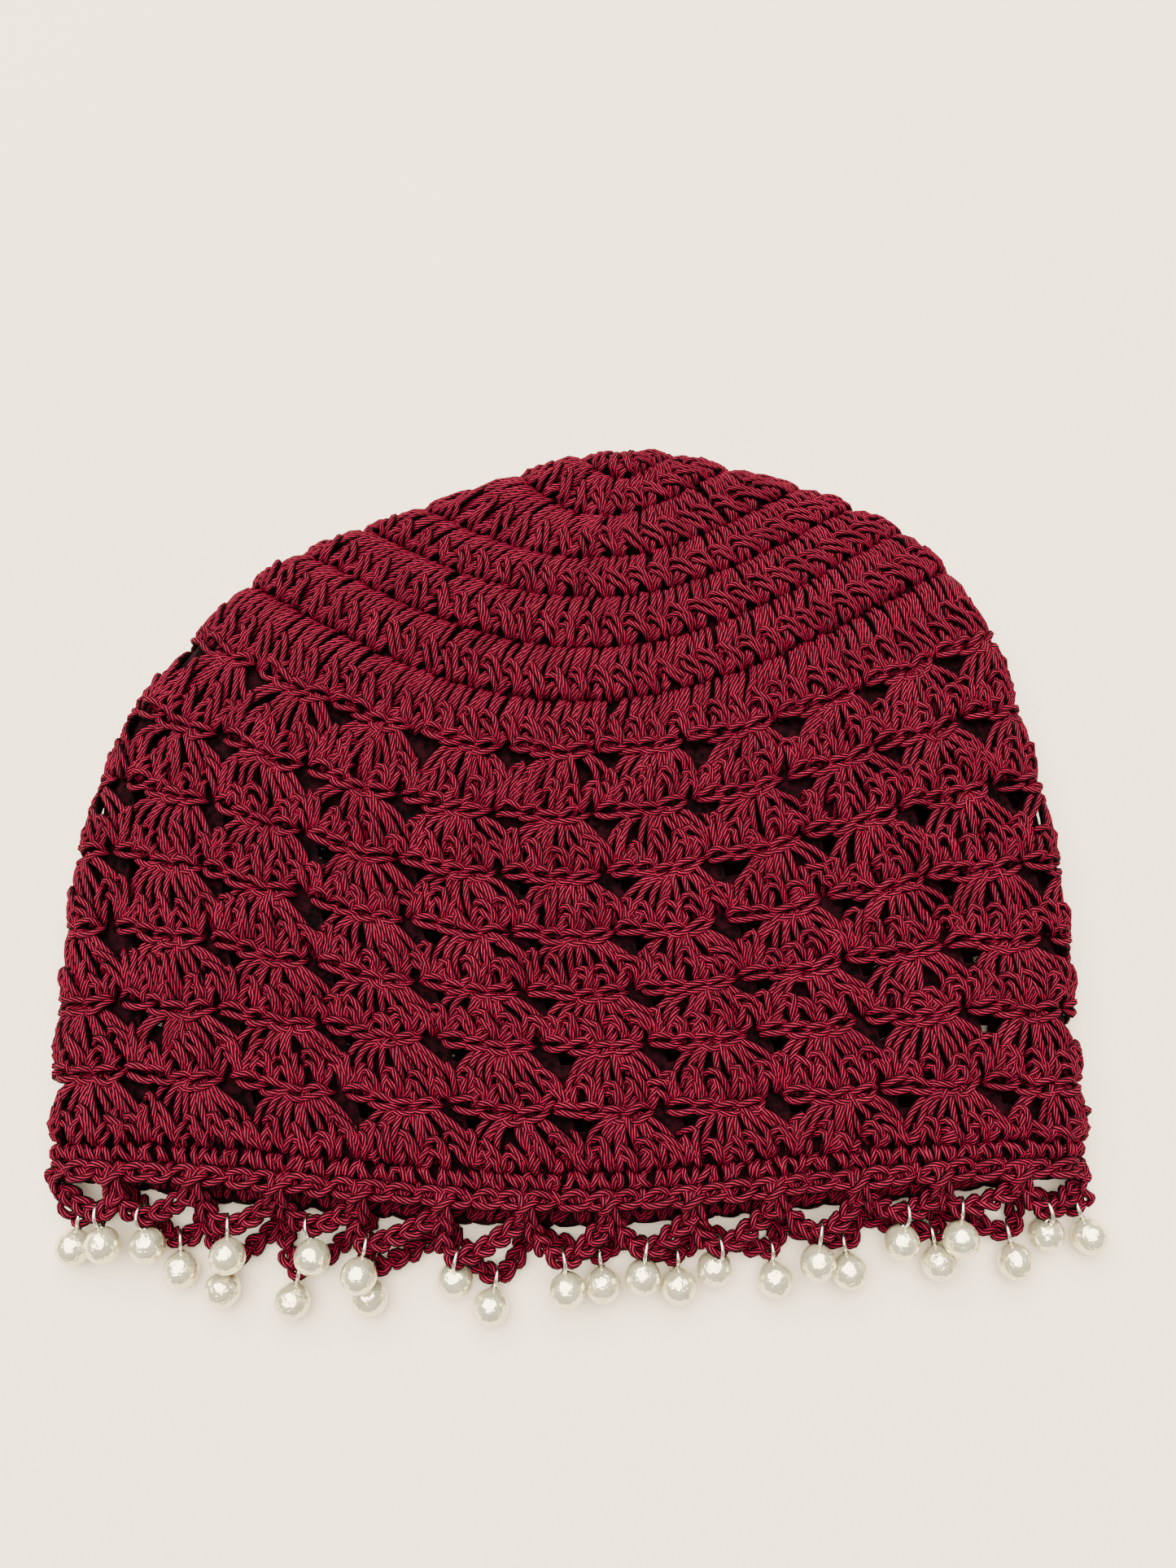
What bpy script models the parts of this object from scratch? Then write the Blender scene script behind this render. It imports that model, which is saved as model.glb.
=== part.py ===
"""A crocheted beanie with pearl drops round its hem, lying flat on a table.

Millimetre sizes are written as metres. +Z is up and the part rests on z = 0. +Y runs from the
hem to the top of the crown, and the upper layer of the flattened cap is its front.

The cap is worked from the top down: plain rounds of tall stitches make the crown, seven rounds
of fan-shaped shells make the body, a tight band holds the hem, and a zigzag of chain loops
carries one pearl drop on each loop. Every piece follows one surface, surface(share, level):
share runs once round the cap and level counts rounds from the top.
"""

import math

import bmesh
import bpy
import numpy as np
from mathutils import Matrix, Vector

# Driving sizes of the cap
HALF_WIDTH = 0.1165  # middle line to side fold, over the shell rounds
CAP_LENGTH = 0.180  # lower edge of the shells to the top of the crown, at the middle
HEM_HEIGHT = 0.0078  # the tight rounds under the shells
FABRIC = 0.0032  # crocheted wall, crown and shells
HEM_FABRIC = 0.0026  # the tight rounds are thinner
SEAM_GAP = 0.0005  # clearance between one worked section and the next

# How the cap lies
FOLD_HALF_HEIGHT = 0.0058  # half the height of the folded side edge
FOLD_RADIUS = 0.0070  # how far in from the outline the fold reaches its full height
TOP_RISE = 0.0045  # how far the upper layer arches above the folds
RISE_REACH = 0.040  # how far in from the outline it arches fully
BACK_SLIP = 0.0035  # how far the lower layer's hem peeps out under the upper one
SLIP_ROUNDS = 4.0  # over how many rounds above the hem that slip builds up
ORIGIN_SHARE = 0.4878  # where along the cap's length the frame's origin lies

# The stitch rounds
CROWN_ROUNDS = 7
SHELL_ROUNDS = 7
SHELLS = 20  # shells in one round
SHELL_PHASE = -0.643  # where the first column between shells starts, in shells
SHELL_DRIFT = 0.135  # how far the shells move on from one round to the next, in shells
GAP_WIDTH = 0.25  # the hole between two shells, as a share of a shell's width
GAP_HEIGHT = 0.29  # the same hole, as a share of a round's height
FIRST_GAP_ROUND = 3  # shell rounds above this one close up too far to see through
RELIEF = 0.0012  # how deep the fabric is pinched where shells meet

# The edging and its pearl drops
LOOPS = 26
LOOP_DROP = 0.0095  # hem to the tip of an average chain loop
CHAIN_THICKNESS = 0.0022
CHAIN_SIDES = 5
CHAIN_CLEARANCE = 0.0003  # chain to hem band
UPPER_TIP_HEIGHT = 0.0086  # the loops of the upper layer droop to this height at their tips
LOWER_TIP_HEIGHT = 0.0031  # those of the lower layer are held this high by the eyes round them
TIP_SHARPNESS = 1.7  # 1 makes a loop's arms straight to the tip, 2 makes the loop round
PEARL_RADIUS = 0.0040
EYE_RADIUS = 0.00250  # middle line of the drop's wire eye
WIRE_RADIUS = 0.00040
EYE_SINK = 0.0005  # how deep the foot of the eye is set into the pearl
EYE_SIDES = 10
WIRE_SIDES = 5
EYE_SLACK = 0.0008  # chain to the far side of the eye that goes round it
REST_GAP = 0.0004  # from a drop to whatever it rests on
REST_STEP = 0.0001  # a drop is raised in steps of this until it clears what lies under it

# Where each round's line runs on the flattened cap, seen from above. Sideways places are shares
# of HALF_WIDTH, lengthways ones shares of CAP_LENGTH from the shells' lower edge, rise is a share
# of TOP_RISE, and bend is how tightly the line sags about its middle: 1 is a parabola, and 3 keeps
# it nearly straight at both sides. Level 0 is the centre of the crown, level 14 the lower edge of
# the shells.
ROUND_COLUMNS = ("left_x", "left_y", "right_x", "right_y", "middle_x", "middle_y", "rise", "bend")
ROUND_TABLE = (
    (0.130, 1.000, 0.130, 1.000, 0.130, 1.000, 0.00, 1.2),
    (0.017, 0.993, 0.232, 0.996, 0.112, 0.950, 0.10, 1.2),
    (-0.120, 0.964, 0.360, 0.973, 0.077, 0.889, 0.30, 1.2),
    (-0.335, 0.909, 0.515, 0.941, 0.074, 0.820, 0.55, 1.2),
    (-0.464, 0.876, 0.627, 0.909, 0.069, 0.758, 0.75, 1.2),
    (-0.592, 0.839, 0.730, 0.872, 0.060, 0.683, 0.90, 1.2),
    (-0.701, 0.792, 0.824, 0.812, 0.034, 0.605, 1.00, 1.2),
    (-0.812, 0.708, 0.906, 0.707, 0.000, 0.533, 1.00, 1.2),
    (-0.923, 0.600, 0.941, 0.604, -0.026, 0.446, 1.00, 1.4),
    (-0.970, 0.500, 0.974, 0.498, -0.034, 0.364, 1.00, 1.7),
    (-1.000, 0.405, 0.996, 0.387, -0.034, 0.288, 1.00, 1.9),
    (-1.006, 0.303, 1.003, 0.289, -0.034, 0.215, 0.95, 2.2),
    (-1.006, 0.207, 0.998, 0.198, -0.026, 0.150, 0.85, 2.6),
    (-1.004, 0.120, 1.000, 0.106, -0.017, 0.071, 0.70, 3.0),
    (-0.998, 0.034, 0.997, 0.038, -0.017, 0.000, 0.55, 3.2),
)
HEM_PULL = 0.985  # the hem band's width as a share of the shells' lower edge

# One row for each chain loop, from the left fold over the upper layer to the right fold and back
# under it: how far its tip leans to the right as a share of the loop pitch, its drop as a share
# of LOOP_DROP, the way its pearl lies (degrees from straight down, towards the right) and how
# far the eye is twisted about the drop's own axis.
LOOP_COLUMNS = ("lean", "drop", "swing", "twist")
LOOP_TABLE = (
    (0.17, 0.60, 8.0, 12.0),
    (-0.18, 0.60, 8.0, -12.0),
    (-0.14, 0.70, 8.0, 12.0),
    (-0.14, 0.55, 8.0, -12.0),
    (-0.46, 0.80, -6.0, 12.0),
    (-0.34, 0.98, -8.0, -10.0),
    (-0.06, 0.96, 8.0, 10.0),
    (-0.05, 0.81, -8.0, -12.0),
    (-0.18, 0.91, -8.0, 10.0),
    (0.07, 0.76, -8.0, -12.0),
    (0.10, 0.50, -6.0, 8.0),
    (-0.20, 0.50, -8.0, -12.0),
    (-0.03, 0.60, 8.0, -8.0),
    (0.45, 0.45, 14.0, -6.0),
    (0.43, 0.80, 8.0, -12.0),
    (0.48, 0.60, 10.0, -6.0),
    (0.40, 0.60, 6.0, -12.0),
    (0.47, 0.60, 8.0, 12.0),
    (0.31, 0.60, 6.0, 12.0),
    (0.40, 0.50, 4.0, -6.0),
    (0.12, 1.01, -8.0, 8.0),
    (-0.35, 0.94, -8.0, -12.0),
    (-0.29, 1.19, -8.0, 12.0),
    (-0.15, 1.10, -8.0, -12.0),
    (0.22, 0.90, 8.0, 12.0),
    (-0.15, 0.60, -8.0, -12.0),
)

# Mesh fineness
LOOP_SAMPLES = 720  # points that a round's outline is measured with
SMOOTH_COLUMNS = 40  # columns of the crown and the hem band
FOLD_CROWDING = 0.6  # how strongly those columns crowd towards the side folds
ARM_STEPS = 6  # tube rings on one chain loop, an even number so that one is at the tip
POLE_LEVELS = (0.3, 0.65)  # extra rings that round the top of the crown
NORMAL_STEP = 1e-3  # step, in shares and rounds, that surface normals are measured over

COLOURS = {  # linear red, green and blue, roughness, metallic
    "burgundy_yarn": ((0.300, 0.012, 0.036), 0.85, 0.0),
    "pearl": ((0.86, 0.84, 0.78), 0.18, 0.0),
}


def column(table, names, name):
    """One named column of a table as an array."""
    return np.array([row[names.index(name)] for row in table])


def smooth_step(x):
    """0 up to 0, 1 from 1, and a smooth rise between."""
    x = np.clip(x, 0.0, 1.0)
    return x * x * (3.0 - 2.0 * x)


def along(values, level):
    """A column of the round table at any level, by a Catmull-Rom curve through its rows."""
    last = len(values) - 1
    i = int(min(max(math.floor(level), 0), last - 1))
    t = level - i
    before = values[max(i - 1, 0)]
    p, q = values[i], values[i + 1]
    after = values[min(i + 2, last)]
    slope_p, slope_q = (q - before) / 2.0, (after - p) / 2.0
    return (
        (2 * t**3 - 3 * t**2 + 1) * p
        + (t**3 - 2 * t**2 + t) * slope_p
        + (3 * t**2 - 2 * t**3) * q
        + (t**3 - t**2) * slope_q
    )


def round_places(level):
    """The named places of the round at this level: the table's up to the shells' lower edge, and
    below it the hem band's, which hang straight down from that edge and pull in a little."""
    last = len(ROUND_TABLE) - 1
    inside = min(level, last)
    places = {n: along(column(ROUND_TABLE, ROUND_COLUMNS, n), inside) for n in ROUND_COLUMNS}
    for side in ("left", "right", "middle"):
        places[side + "_x"] *= HALF_WIDTH
        places[side + "_y"] = (places[side + "_y"] - ORIGIN_SHARE) * CAP_LENGTH
    below = max(level - last, 0.0)
    for side in ("left", "right", "middle"):
        places[side + "_x"] *= 1.0 - (1.0 - HEM_PULL) * below
        places[side + "_y"] -= HEM_HEIGHT * below
    return places


def outline(level):
    """The closed line of one round: along the upper layer from the left fold to the right one, and
    back along the lower layer. Across is -1 at the left fold and 1 at the right. In plan the line
    sags from the folds to its middle. In height each layer leaves the fold's middle height on a
    quarter of an ellipse, and the upper one goes on rising towards its middle."""
    angle = np.linspace(0.0, 2.0 * math.pi, LOOP_SAMPLES + 1)
    across = -np.cos(angle)
    upper = np.sin(angle) >= 0.0
    p = round_places(level)
    middle = (1.0 - across**2) ** p["bend"]
    chord_x = p["left_x"] + (p["right_x"] - p["left_x"]) * (across + 1.0) / 2.0
    chord_y = p["left_y"] + (p["right_y"] - p["left_y"]) * (across + 1.0) / 2.0
    x = chord_x + (p["middle_x"] - (p["left_x"] + p["right_x"]) / 2.0) * (1.0 - across**2)
    y = chord_y + (p["middle_y"] - (p["left_y"] + p["right_y"]) / 2.0) * middle
    inward = (1.0 - np.abs(across)) * (p["right_x"] - p["left_x"]) / 2.0
    fold = np.sqrt(1.0 - (1.0 - np.clip(inward / FOLD_RADIUS, 0.0, 1.0)) ** 2)
    rise = TOP_RISE * p["rise"] * smooth_step(inward / RISE_REACH)
    z = np.where(upper, FOLD_HALF_HEIGHT * (1.0 + fold) + rise, FOLD_HALF_HEIGHT * (1.0 - fold))
    near_hem = smooth_step((level - CROWN_ROUNDS - SHELL_ROUNDS + SLIP_ROUNDS) / SLIP_ROUNDS)
    y = y - np.where(upper, 0.0, BACK_SLIP * near_hem * smooth_step(inward / RISE_REACH))
    return np.stack([x, y, z], axis=1)


def surface(share, level):
    """Points on the cap's outer surface: shares of the way round the round at this level, measured
    along its line from the left fold over the upper layer."""
    line = outline(level)
    step = np.linalg.norm(np.diff(line, axis=0), axis=1)
    length = np.concatenate([[0.0], np.cumsum(step)])
    at = np.mod(share, 1.0) * length[-1]
    return np.stack([np.interp(at, length, line[:, i]) for i in range(3)], axis=1)


def normals(share, level):
    """Outward unit normals of the surface, from small steps round and down the cap. Over the last
    shell round they turn square to the cap's length, so that shells and hem meet face to face."""
    low = max(level - NORMAL_STEP, NORMAL_STEP)
    round_step = surface(share + NORMAL_STEP, level) - surface(share - NORMAL_STEP, level)
    down_step = surface(share, low + 2 * NORMAL_STEP) - surface(share, low)
    across = np.cross(down_step, round_step)
    out = across / np.linalg.norm(across, axis=1)[:, None]
    out[:, 1] *= 1.0 - smooth_step(level - CROWN_ROUNDS - SHELL_ROUNDS + 1.0)
    return out / np.linalg.norm(out, axis=1)[:, None]


def crowded_columns(count):
    """Shares of the way round for count columns that stand closer together at the two folds."""
    angle = np.arange(count) * 2.0 * math.pi / count
    return (angle - FOLD_CROWDING * np.sin(2.0 * angle) / 2.0) / (2.0 * math.pi)


def shell_share(shells, level):
    """The share of the way round for a place counted in shells, which drift as the rounds go down."""
    rounds_down = max(level - CROWN_ROUNDS, 0.0)
    return (shells + SHELL_PHASE + SHELL_DRIFT * rounds_down) / SHELLS


def clear_of_table(z):
    """0 on the underside, which the table presses flat, and 1 from the folds upwards."""
    return smooth_step(z / FOLD_HALF_HEIGHT)


def material(name):
    """A Principled material with this piece's colour, roughness and metallic value."""
    found = bpy.data.materials.get(name)
    if found:
        return found
    colour, roughness, metallic = COLOURS[name]
    made = bpy.data.materials.new(name)
    made.use_nodes = True
    shader = made.node_tree.nodes["Principled BSDF"]
    shader.inputs["Base Color"].default_value = (*colour, 1.0)
    shader.inputs["Roughness"].default_value = roughness
    shader.inputs["Metallic"].default_value = metallic
    return made


def add_object(name, mesh, slot):
    """Links a mesh as a named object with its material, smooth where its faces nearly agree."""
    if not mesh.materials:
        mesh.materials.append(material(slot))
        mesh.shade_smooth()
        mesh.set_sharp_from_angle(angle=math.radians(50.0))
    made = bpy.data.objects.new(name, mesh)
    bpy.context.scene.collection.objects.link(made)
    return made


def mesh_from(name, points, faces):
    """A mesh from points and faces, its faces turned outwards."""
    mesh = bpy.data.meshes.new(name)
    mesh.from_pydata([tuple(p) for p in points], [], faces)
    work = bmesh.new()
    work.from_mesh(mesh)
    bmesh.ops.recalc_face_normals(work, faces=work.faces)
    work.to_mesh(mesh)
    work.free()
    return mesh


def wall(name, share_at, count, levels, thickness, relief=None, holes=frozenset(), closed_top=False):
    """A closed wall that follows the surface between its first and last level. share_at(level)
    gives the columns of one ring, relief(level) how far each point is pushed out, and holes names
    the cells, as (ring, column), that are cut through. A closed top starts at one point."""
    outer, inner = [], []
    for level in levels:
        shares = share_at(level)
        points = surface(shares, level)
        out = normals(shares, level)
        push = 0.0 if relief is None else relief(level) * clear_of_table(points[:, 2])
        outer.append(points + out * np.reshape(push, (-1, 1)))
        inner.append(points - out * thickness)
    rings = len(levels)
    points = np.concatenate(outer + inner)
    inside = rings * count
    faces = []
    for ring in range(rings - 1):
        for col in range(count):
            a, b = ring * count + col, ring * count + (col + 1) % count
            cell = [a, b, b + count, a + count]
            if (ring, col) in holes:
                faces += [
                    [p, q, q + inside, p + inside] for p, q in zip(cell, cell[1:] + cell[:1])
                ]
            else:
                faces += [cell, [p + inside for p in reversed(cell)]]
    last = (rings - 1) * count
    for col in range(count):
        a, b = last + col, last + (col + 1) % count
        faces.append([a, b, b + inside, a + inside])
    if closed_top:
        top = surface(np.array([0.0]), 0.0)[0]
        pole = len(points)
        points = np.concatenate([points, [top, top - np.array([0.0, thickness, 0.0])]])
        for col in range(count):
            following = (col + 1) % count
            faces.append([pole, following, col])
            faces.append([pole + 1, inside + col, inside + following])
    else:
        for col in range(count):
            following = (col + 1) % count
            faces.append([following, col, inside + col, inside + following])
    return mesh_from(name, points, faces)


def gap_levels(length_of_round):
    """Half of the clearance between two worked sections, in rounds of this length."""
    return SEAM_GAP / 2.0 / length_of_round


def round_height():
    """The height of an average shell round, along the middle line."""
    middle = column(ROUND_TABLE, ROUND_COLUMNS, "middle_y")
    return (middle[CROWN_ROUNDS] - middle[-1]) * CAP_LENGTH / SHELL_ROUNDS


def make_crown():
    """The plain rounds: a cap that closes at the top."""
    end = CROWN_ROUNDS - gap_levels(round_height())
    levels = [*POLE_LEVELS, *range(1, CROWN_ROUNDS), end]
    columns = crowded_columns(SMOOTH_COLUMNS)
    mesh = wall("crown", lambda level: columns, SMOOTH_COLUMNS, levels, FABRIC, closed_top=True)
    return add_object("crown", mesh, "burgundy_yarn")


def make_shell_body():
    """The shell rounds. Four columns of points stand in each shell: one on each side of the gap
    to its neighbour and two on its back. Each round has a ring where its shells are gathered and
    one at the lower edge of the gaps, so that a gap is one cell of the grid."""
    edge = GAP_WIDTH / 2.0
    back = (1.0 - GAP_WIDTH) / 3.0
    in_shell = (-edge, edge, edge + back, edge + 2.0 * back)
    places = np.array([k + p for k in range(SHELLS) for p in in_shell])
    end_gap = gap_levels(round_height())
    levels, gap_rings = [CROWN_ROUNDS + end_gap], []
    for number in range(1, SHELL_ROUNDS):
        level = CROWN_ROUNDS + number
        levels.append(level)
        if number >= FIRST_GAP_ROUND:
            gap_rings.append(len(levels) - 1)
            levels.append(level + GAP_HEIGHT)
    levels.append(CROWN_ROUNDS + SHELL_ROUNDS - end_gap)
    holes = frozenset((ring, len(in_shell) * k) for ring in gap_rings for k in range(SHELLS))
    between = np.tile([1.0, 1.0, 0.0, 0.0], SHELLS)

    def relief(level):
        """Pinched in where a round is gathered, and along the columns between shells."""
        gathered = 1.0 if abs(level - round(level)) < GAP_HEIGHT / 2.0 else 0.0
        return -RELIEF * np.maximum(gathered, 0.6 * between)

    mesh = wall(
        "shell_body",
        lambda level: shell_share(places, level),
        len(places),
        levels,
        FABRIC,
        relief=relief,
        holes=holes,
    )
    return add_object("shell_body", mesh, "burgundy_yarn")


def make_hem_band():
    """The tight rounds under the shells: a plain band."""
    start = CROWN_ROUNDS + SHELL_ROUNDS
    levels = [start + gap_levels(HEM_HEIGHT), start + 1.0]
    columns = crowded_columns(SMOOTH_COLUMNS)
    mesh = wall("hem_band", lambda level: columns, SMOOTH_COLUMNS, levels, HEM_FABRIC)
    return add_object("hem_band", mesh, "burgundy_yarn")


def chain_loops():
    """Each loop as its table row with its two feet against the hem band, and the way from the
    middle between them to its tip. A tip stays between the upper and the lower tip height."""
    hem = CROWN_ROUNDS + SHELL_ROUNDS + 1.0
    shares = np.arange(LOOPS) / LOOPS
    feet = surface(shares, hem) - normals(shares, hem) * HEM_FABRIC / 2.0
    feet[:, 1] -= CHAIN_THICKNESS / 2.0 + CHAIN_CLEARANCE
    feet[:, 2] = np.maximum(feet[:, 2], CHAIN_THICKNESS / 2.0)
    pitch = np.linalg.norm(np.diff(outline(hem), axis=0), axis=1).sum() / LOOPS
    loops = []
    for number, row in enumerate(LOOP_TABLE):
        loop = dict(zip(LOOP_COLUMNS, row))
        start, end = feet[number], feet[(number + 1) % LOOPS]
        middle = (start + end) / 2.0
        height = min(max(middle[2], LOWER_TIP_HEIGHT), UPPER_TIP_HEIGHT)
        way = [loop["lean"] * pitch, -loop["drop"] * LOOP_DROP, height - middle[2]]
        loop.update(start=start, end=end, way=np.array(way))
        loops.append(loop)
    return loops


def chain_at(loop, t):
    """The chain's middle line at share t of a loop: along the chord between its feet, and out
    towards the tip by one minus a power of the distance from the loop's middle."""
    depth = 1.0 - abs(2.0 * t - 1.0) ** TIP_SHARPNESS
    return loop["start"] + (loop["end"] - loop["start"]) * t + loop["way"] * depth


def chain_line():
    """The closed middle line of the chain round the whole hem."""
    steps = [i / ARM_STEPS for i in range(ARM_STEPS)]
    return np.array([chain_at(loop, t) for loop in chain_loops() for t in steps])


def make_edging():
    """The chain loops as one closed tube round the whole hem."""
    line = chain_line()
    tangent = np.roll(line, -1, axis=0) - np.roll(line, 1, axis=0)
    tangent /= np.linalg.norm(tangent, axis=1)[:, None]
    side = np.cross(tangent, np.array([0.0, 0.0, 1.0]))
    side /= np.linalg.norm(side, axis=1)[:, None]
    up = np.cross(side, tangent)
    angle = (np.arange(CHAIN_SIDES) + 0.5) * 2.0 * math.pi / CHAIN_SIDES - math.pi / 2.0
    ring = CHAIN_THICKNESS / 2.0 * np.stack([np.cos(angle), np.sin(angle)], axis=1)
    points = line[:, None] + side[:, None] * ring[None, :, :1] + up[:, None] * ring[None, :, 1:]
    count = len(line)
    faces = []
    for i in range(count):
        for j in range(CHAIN_SIDES):
            following = (j + 1) % CHAIN_SIDES
            a, b = i * CHAIN_SIDES, (i + 1) % count * CHAIN_SIDES
            faces.append([a + j, a + following, b + following, b + j])
    mesh = mesh_from("loop_edging", points.reshape(-1, 3), faces)
    return add_object("loop_edging", mesh, "burgundy_yarn")


def drop_mesh():
    """A pearl with the wire eye that it hangs on, fused: the pearl's centre is the origin, and the
    eye stands above it in the XZ plane."""
    bpy.ops.mesh.primitive_ico_sphere_add(subdivisions=2, radius=PEARL_RADIUS)
    pearl = bpy.context.object
    bpy.ops.mesh.primitive_torus_add(
        major_radius=EYE_RADIUS,
        minor_radius=WIRE_RADIUS,
        major_segments=EYE_SIDES,
        minor_segments=WIRE_SIDES,
        location=(0.0, 0.0, eye_reach()),
        rotation=(math.pi / 2.0, 0.0, 0.0),
    )
    eye = bpy.context.object
    union = pearl.modifiers.new("eye", "BOOLEAN")
    union.operation = "UNION"
    union.solver = "EXACT"
    union.object = eye
    graph = bpy.context.evaluated_depsgraph_get()
    mesh = bpy.data.meshes.new_from_object(pearl.evaluated_get(graph))
    mesh.name = "pearl_drop"
    mesh.materials.clear()
    bpy.data.objects.remove(pearl)
    bpy.data.objects.remove(eye)
    return mesh


def eye_reach():
    """From the pearl's centre to the eye's."""
    return PEARL_RADIUS + EYE_RADIUS + WIRE_RADIUS - EYE_SINK


def hang_reach():
    """From the pearl's centre to the chain that the eye hangs on: the eye's far side rests on it."""
    return eye_reach() + EYE_RADIUS - WIRE_RADIUS - CHAIN_THICKNESS / 2.0 - EYE_SLACK


def hang_point(loop):
    """The tip of a loop, where a drop's eye hangs: the point, the chain's direction there and the
    direction in plan that the drop swings to."""
    swing = math.radians(loop["swing"])
    run = chain_at(loop, 0.5 + 1.0 / ARM_STEPS) - chain_at(loop, 0.5 - 1.0 / ARM_STEPS)
    swing_way = np.array([math.sin(swing), -math.cos(swing), 0.0])
    return chain_at(loop, 0.5), run / np.linalg.norm(run), swing_way


def rest_drop(hang, swing_way, below):
    """The lowest place for a pearl on its eye's reach that clears the table and the balls below,
    each given as a centre and a radius."""
    centres = np.array([ball[0] for ball in below]).reshape(-1, 3)
    reaches = np.array([ball[1] for ball in below]) + PEARL_RADIUS + REST_GAP
    height = PEARL_RADIUS
    while True:
        along_table = math.sqrt(max(hang_reach() ** 2 - (hang[2] - height) ** 2, 0.0))
        pearl = hang + swing_way * along_table
        pearl[2] = height
        if not below or np.all(np.linalg.norm(centres - pearl, axis=1) >= reaches):
            return pearl
        height += REST_STEP


def make_drops():
    """One pearl drop on each loop, those of the lower layer first. Each lies as low as the drops
    and the chain under it allow, and its eye goes round the chain."""
    mesh = drop_mesh()
    loops = chain_loops()
    lower = list(range(LOOPS // 2, LOOPS))
    steps = [i / ARM_STEPS for i in range(ARM_STEPS)]
    below = []
    for number in lower + list(range(LOOPS // 2)):
        if number == 0:
            chain = [chain_at(loops[i], t) for i in lower for t in steps]
            below += [(point, CHAIN_THICKNESS / 2.0) for point in chain]
        hang, run, swing_way = hang_point(loops[number])
        pearl = rest_drop(hang, swing_way, below)
        axis = Vector(hang - pearl).normalized()
        turn = Matrix.Rotation(math.radians(loops[number]["twist"]), 3, axis)
        across = Vector(run) - Vector(run).dot(axis) * axis
        across = turn @ across.normalized()
        rotation = Matrix((across.cross(axis), across, axis)).transposed()
        drop = add_object(f"pearl_drop_{number + 1:02d}", mesh, "pearl")
        drop.matrix_world = Matrix.Translation(pearl) @ rotation.to_4x4()
        eye = pearl + np.array(axis) * eye_reach()
        below += [(pearl, PEARL_RADIUS), (eye, EYE_RADIUS + WIRE_RADIUS)]


def main():
    for old in list(bpy.data.objects):
        bpy.data.objects.remove(old)
    make_crown()
    make_shell_body()
    make_hem_band()
    make_edging()
    make_drops()


main()
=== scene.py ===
# %% [markdown]
# # A crocheted beanie with pearl drops, lying flat
#
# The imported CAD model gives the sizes: a flattened cap, a band at its hem, a zigzag of chain
# loops and 26 pearl drops. This lesson dresses it. Every stitch of a crocheted cap is one yarn
# that goes over, under and round itself, so a picture of crochet lives on its strands. A bump
# map on a smooth shell would look like printed cloth from any angle but one, so each visible
# strand is built as a thin tube, and a bump is left only for the twist inside the yarn.

# %% The frame and the sizes it gives
import math

import bpy
import numpy as np
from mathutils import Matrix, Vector


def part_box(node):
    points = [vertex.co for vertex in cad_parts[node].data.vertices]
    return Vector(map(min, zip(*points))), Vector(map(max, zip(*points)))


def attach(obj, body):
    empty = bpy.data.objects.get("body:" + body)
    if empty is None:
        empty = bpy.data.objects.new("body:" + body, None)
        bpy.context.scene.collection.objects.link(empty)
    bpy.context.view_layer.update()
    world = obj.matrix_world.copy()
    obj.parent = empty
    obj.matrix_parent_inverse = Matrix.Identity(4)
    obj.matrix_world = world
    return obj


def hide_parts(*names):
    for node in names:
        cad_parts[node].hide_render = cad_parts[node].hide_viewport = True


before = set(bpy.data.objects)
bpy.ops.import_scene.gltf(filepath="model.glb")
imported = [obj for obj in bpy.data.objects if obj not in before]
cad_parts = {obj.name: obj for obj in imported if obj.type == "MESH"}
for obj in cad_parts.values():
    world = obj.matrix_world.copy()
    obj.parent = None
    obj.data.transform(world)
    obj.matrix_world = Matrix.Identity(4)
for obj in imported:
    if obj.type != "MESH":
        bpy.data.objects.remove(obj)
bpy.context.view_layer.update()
rng = np.random.default_rng(26)

# %% [markdown]
# ## The camera
#
# The photograph was taken by hand from above, leaning a little towards the crown. A camera is a
# place, a turn and a lens. Here the lens follows from two lengths in pixels, the height of the
# picture and its focal length, because those are what can be fitted to a picture.

# %% The camera
PHOTO_HEIGHT = 1927  # pixels
FOCAL_PIXELS = 1600.0
SENSOR = 36.0  # mm, along the longer side
CAMERA_PLACE = (0.0043, -0.0845, 0.3105)
CAMERA_LEAN = 16.0  # degrees from straight down


def add_object(name, data):
    """An object with this data, put into the scene."""
    made = bpy.data.objects.new(name, data)
    bpy.context.scene.collection.objects.link(made)
    return made


camera_data = bpy.data.cameras.new("camera")
camera_data.sensor_width = SENSOR
camera_data.lens = FOCAL_PIXELS / PHOTO_HEIGHT * SENSOR
camera_data.clip_start = 0.01
camera = add_object("camera", camera_data)
camera.location = CAMERA_PLACE
camera.rotation_euler = (math.radians(CAMERA_LEAN), 0.0, 0.0)
bpy.context.scene.camera = camera
print("lens, mm:", round(camera_data.lens, 2))

# %% [markdown]
# ## The surface that the stitches follow
#
# The cap was worked in rounds from the top. A place on it is a share of the way round and a
# level, which counts rounds. The CAD source shapes its walls with one such surface, so the same
# named sizes and the same table are used here, and every strand lands on the solid it stands for.
# Working the surface out for each strand anew would be slow. Instead it is worked out once on a
# fine grid, and places between grid points are blended from the four around them.

# %% Sizes of the cap
HALF_WIDTH = 0.1165
CAP_LENGTH = 0.180
HEM_HEIGHT = 0.0078
FOLD_HALF_HEIGHT = 0.0058
FOLD_RADIUS = 0.0070
TOP_RISE = 0.0045
RISE_REACH = 0.040
BACK_SLIP = 0.0035
SLIP_ROUNDS = 4.0
ORIGIN_SHARE = 0.4878
HEM_PULL = 0.985
CROWN_ROUNDS = 7
SHELL_ROUNDS = 7
SHELLS = 20
SHELL_PHASE = -0.643
SHELL_DRIFT = 0.135
HEM_LEVEL = CROWN_ROUNDS + SHELL_ROUNDS

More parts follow.
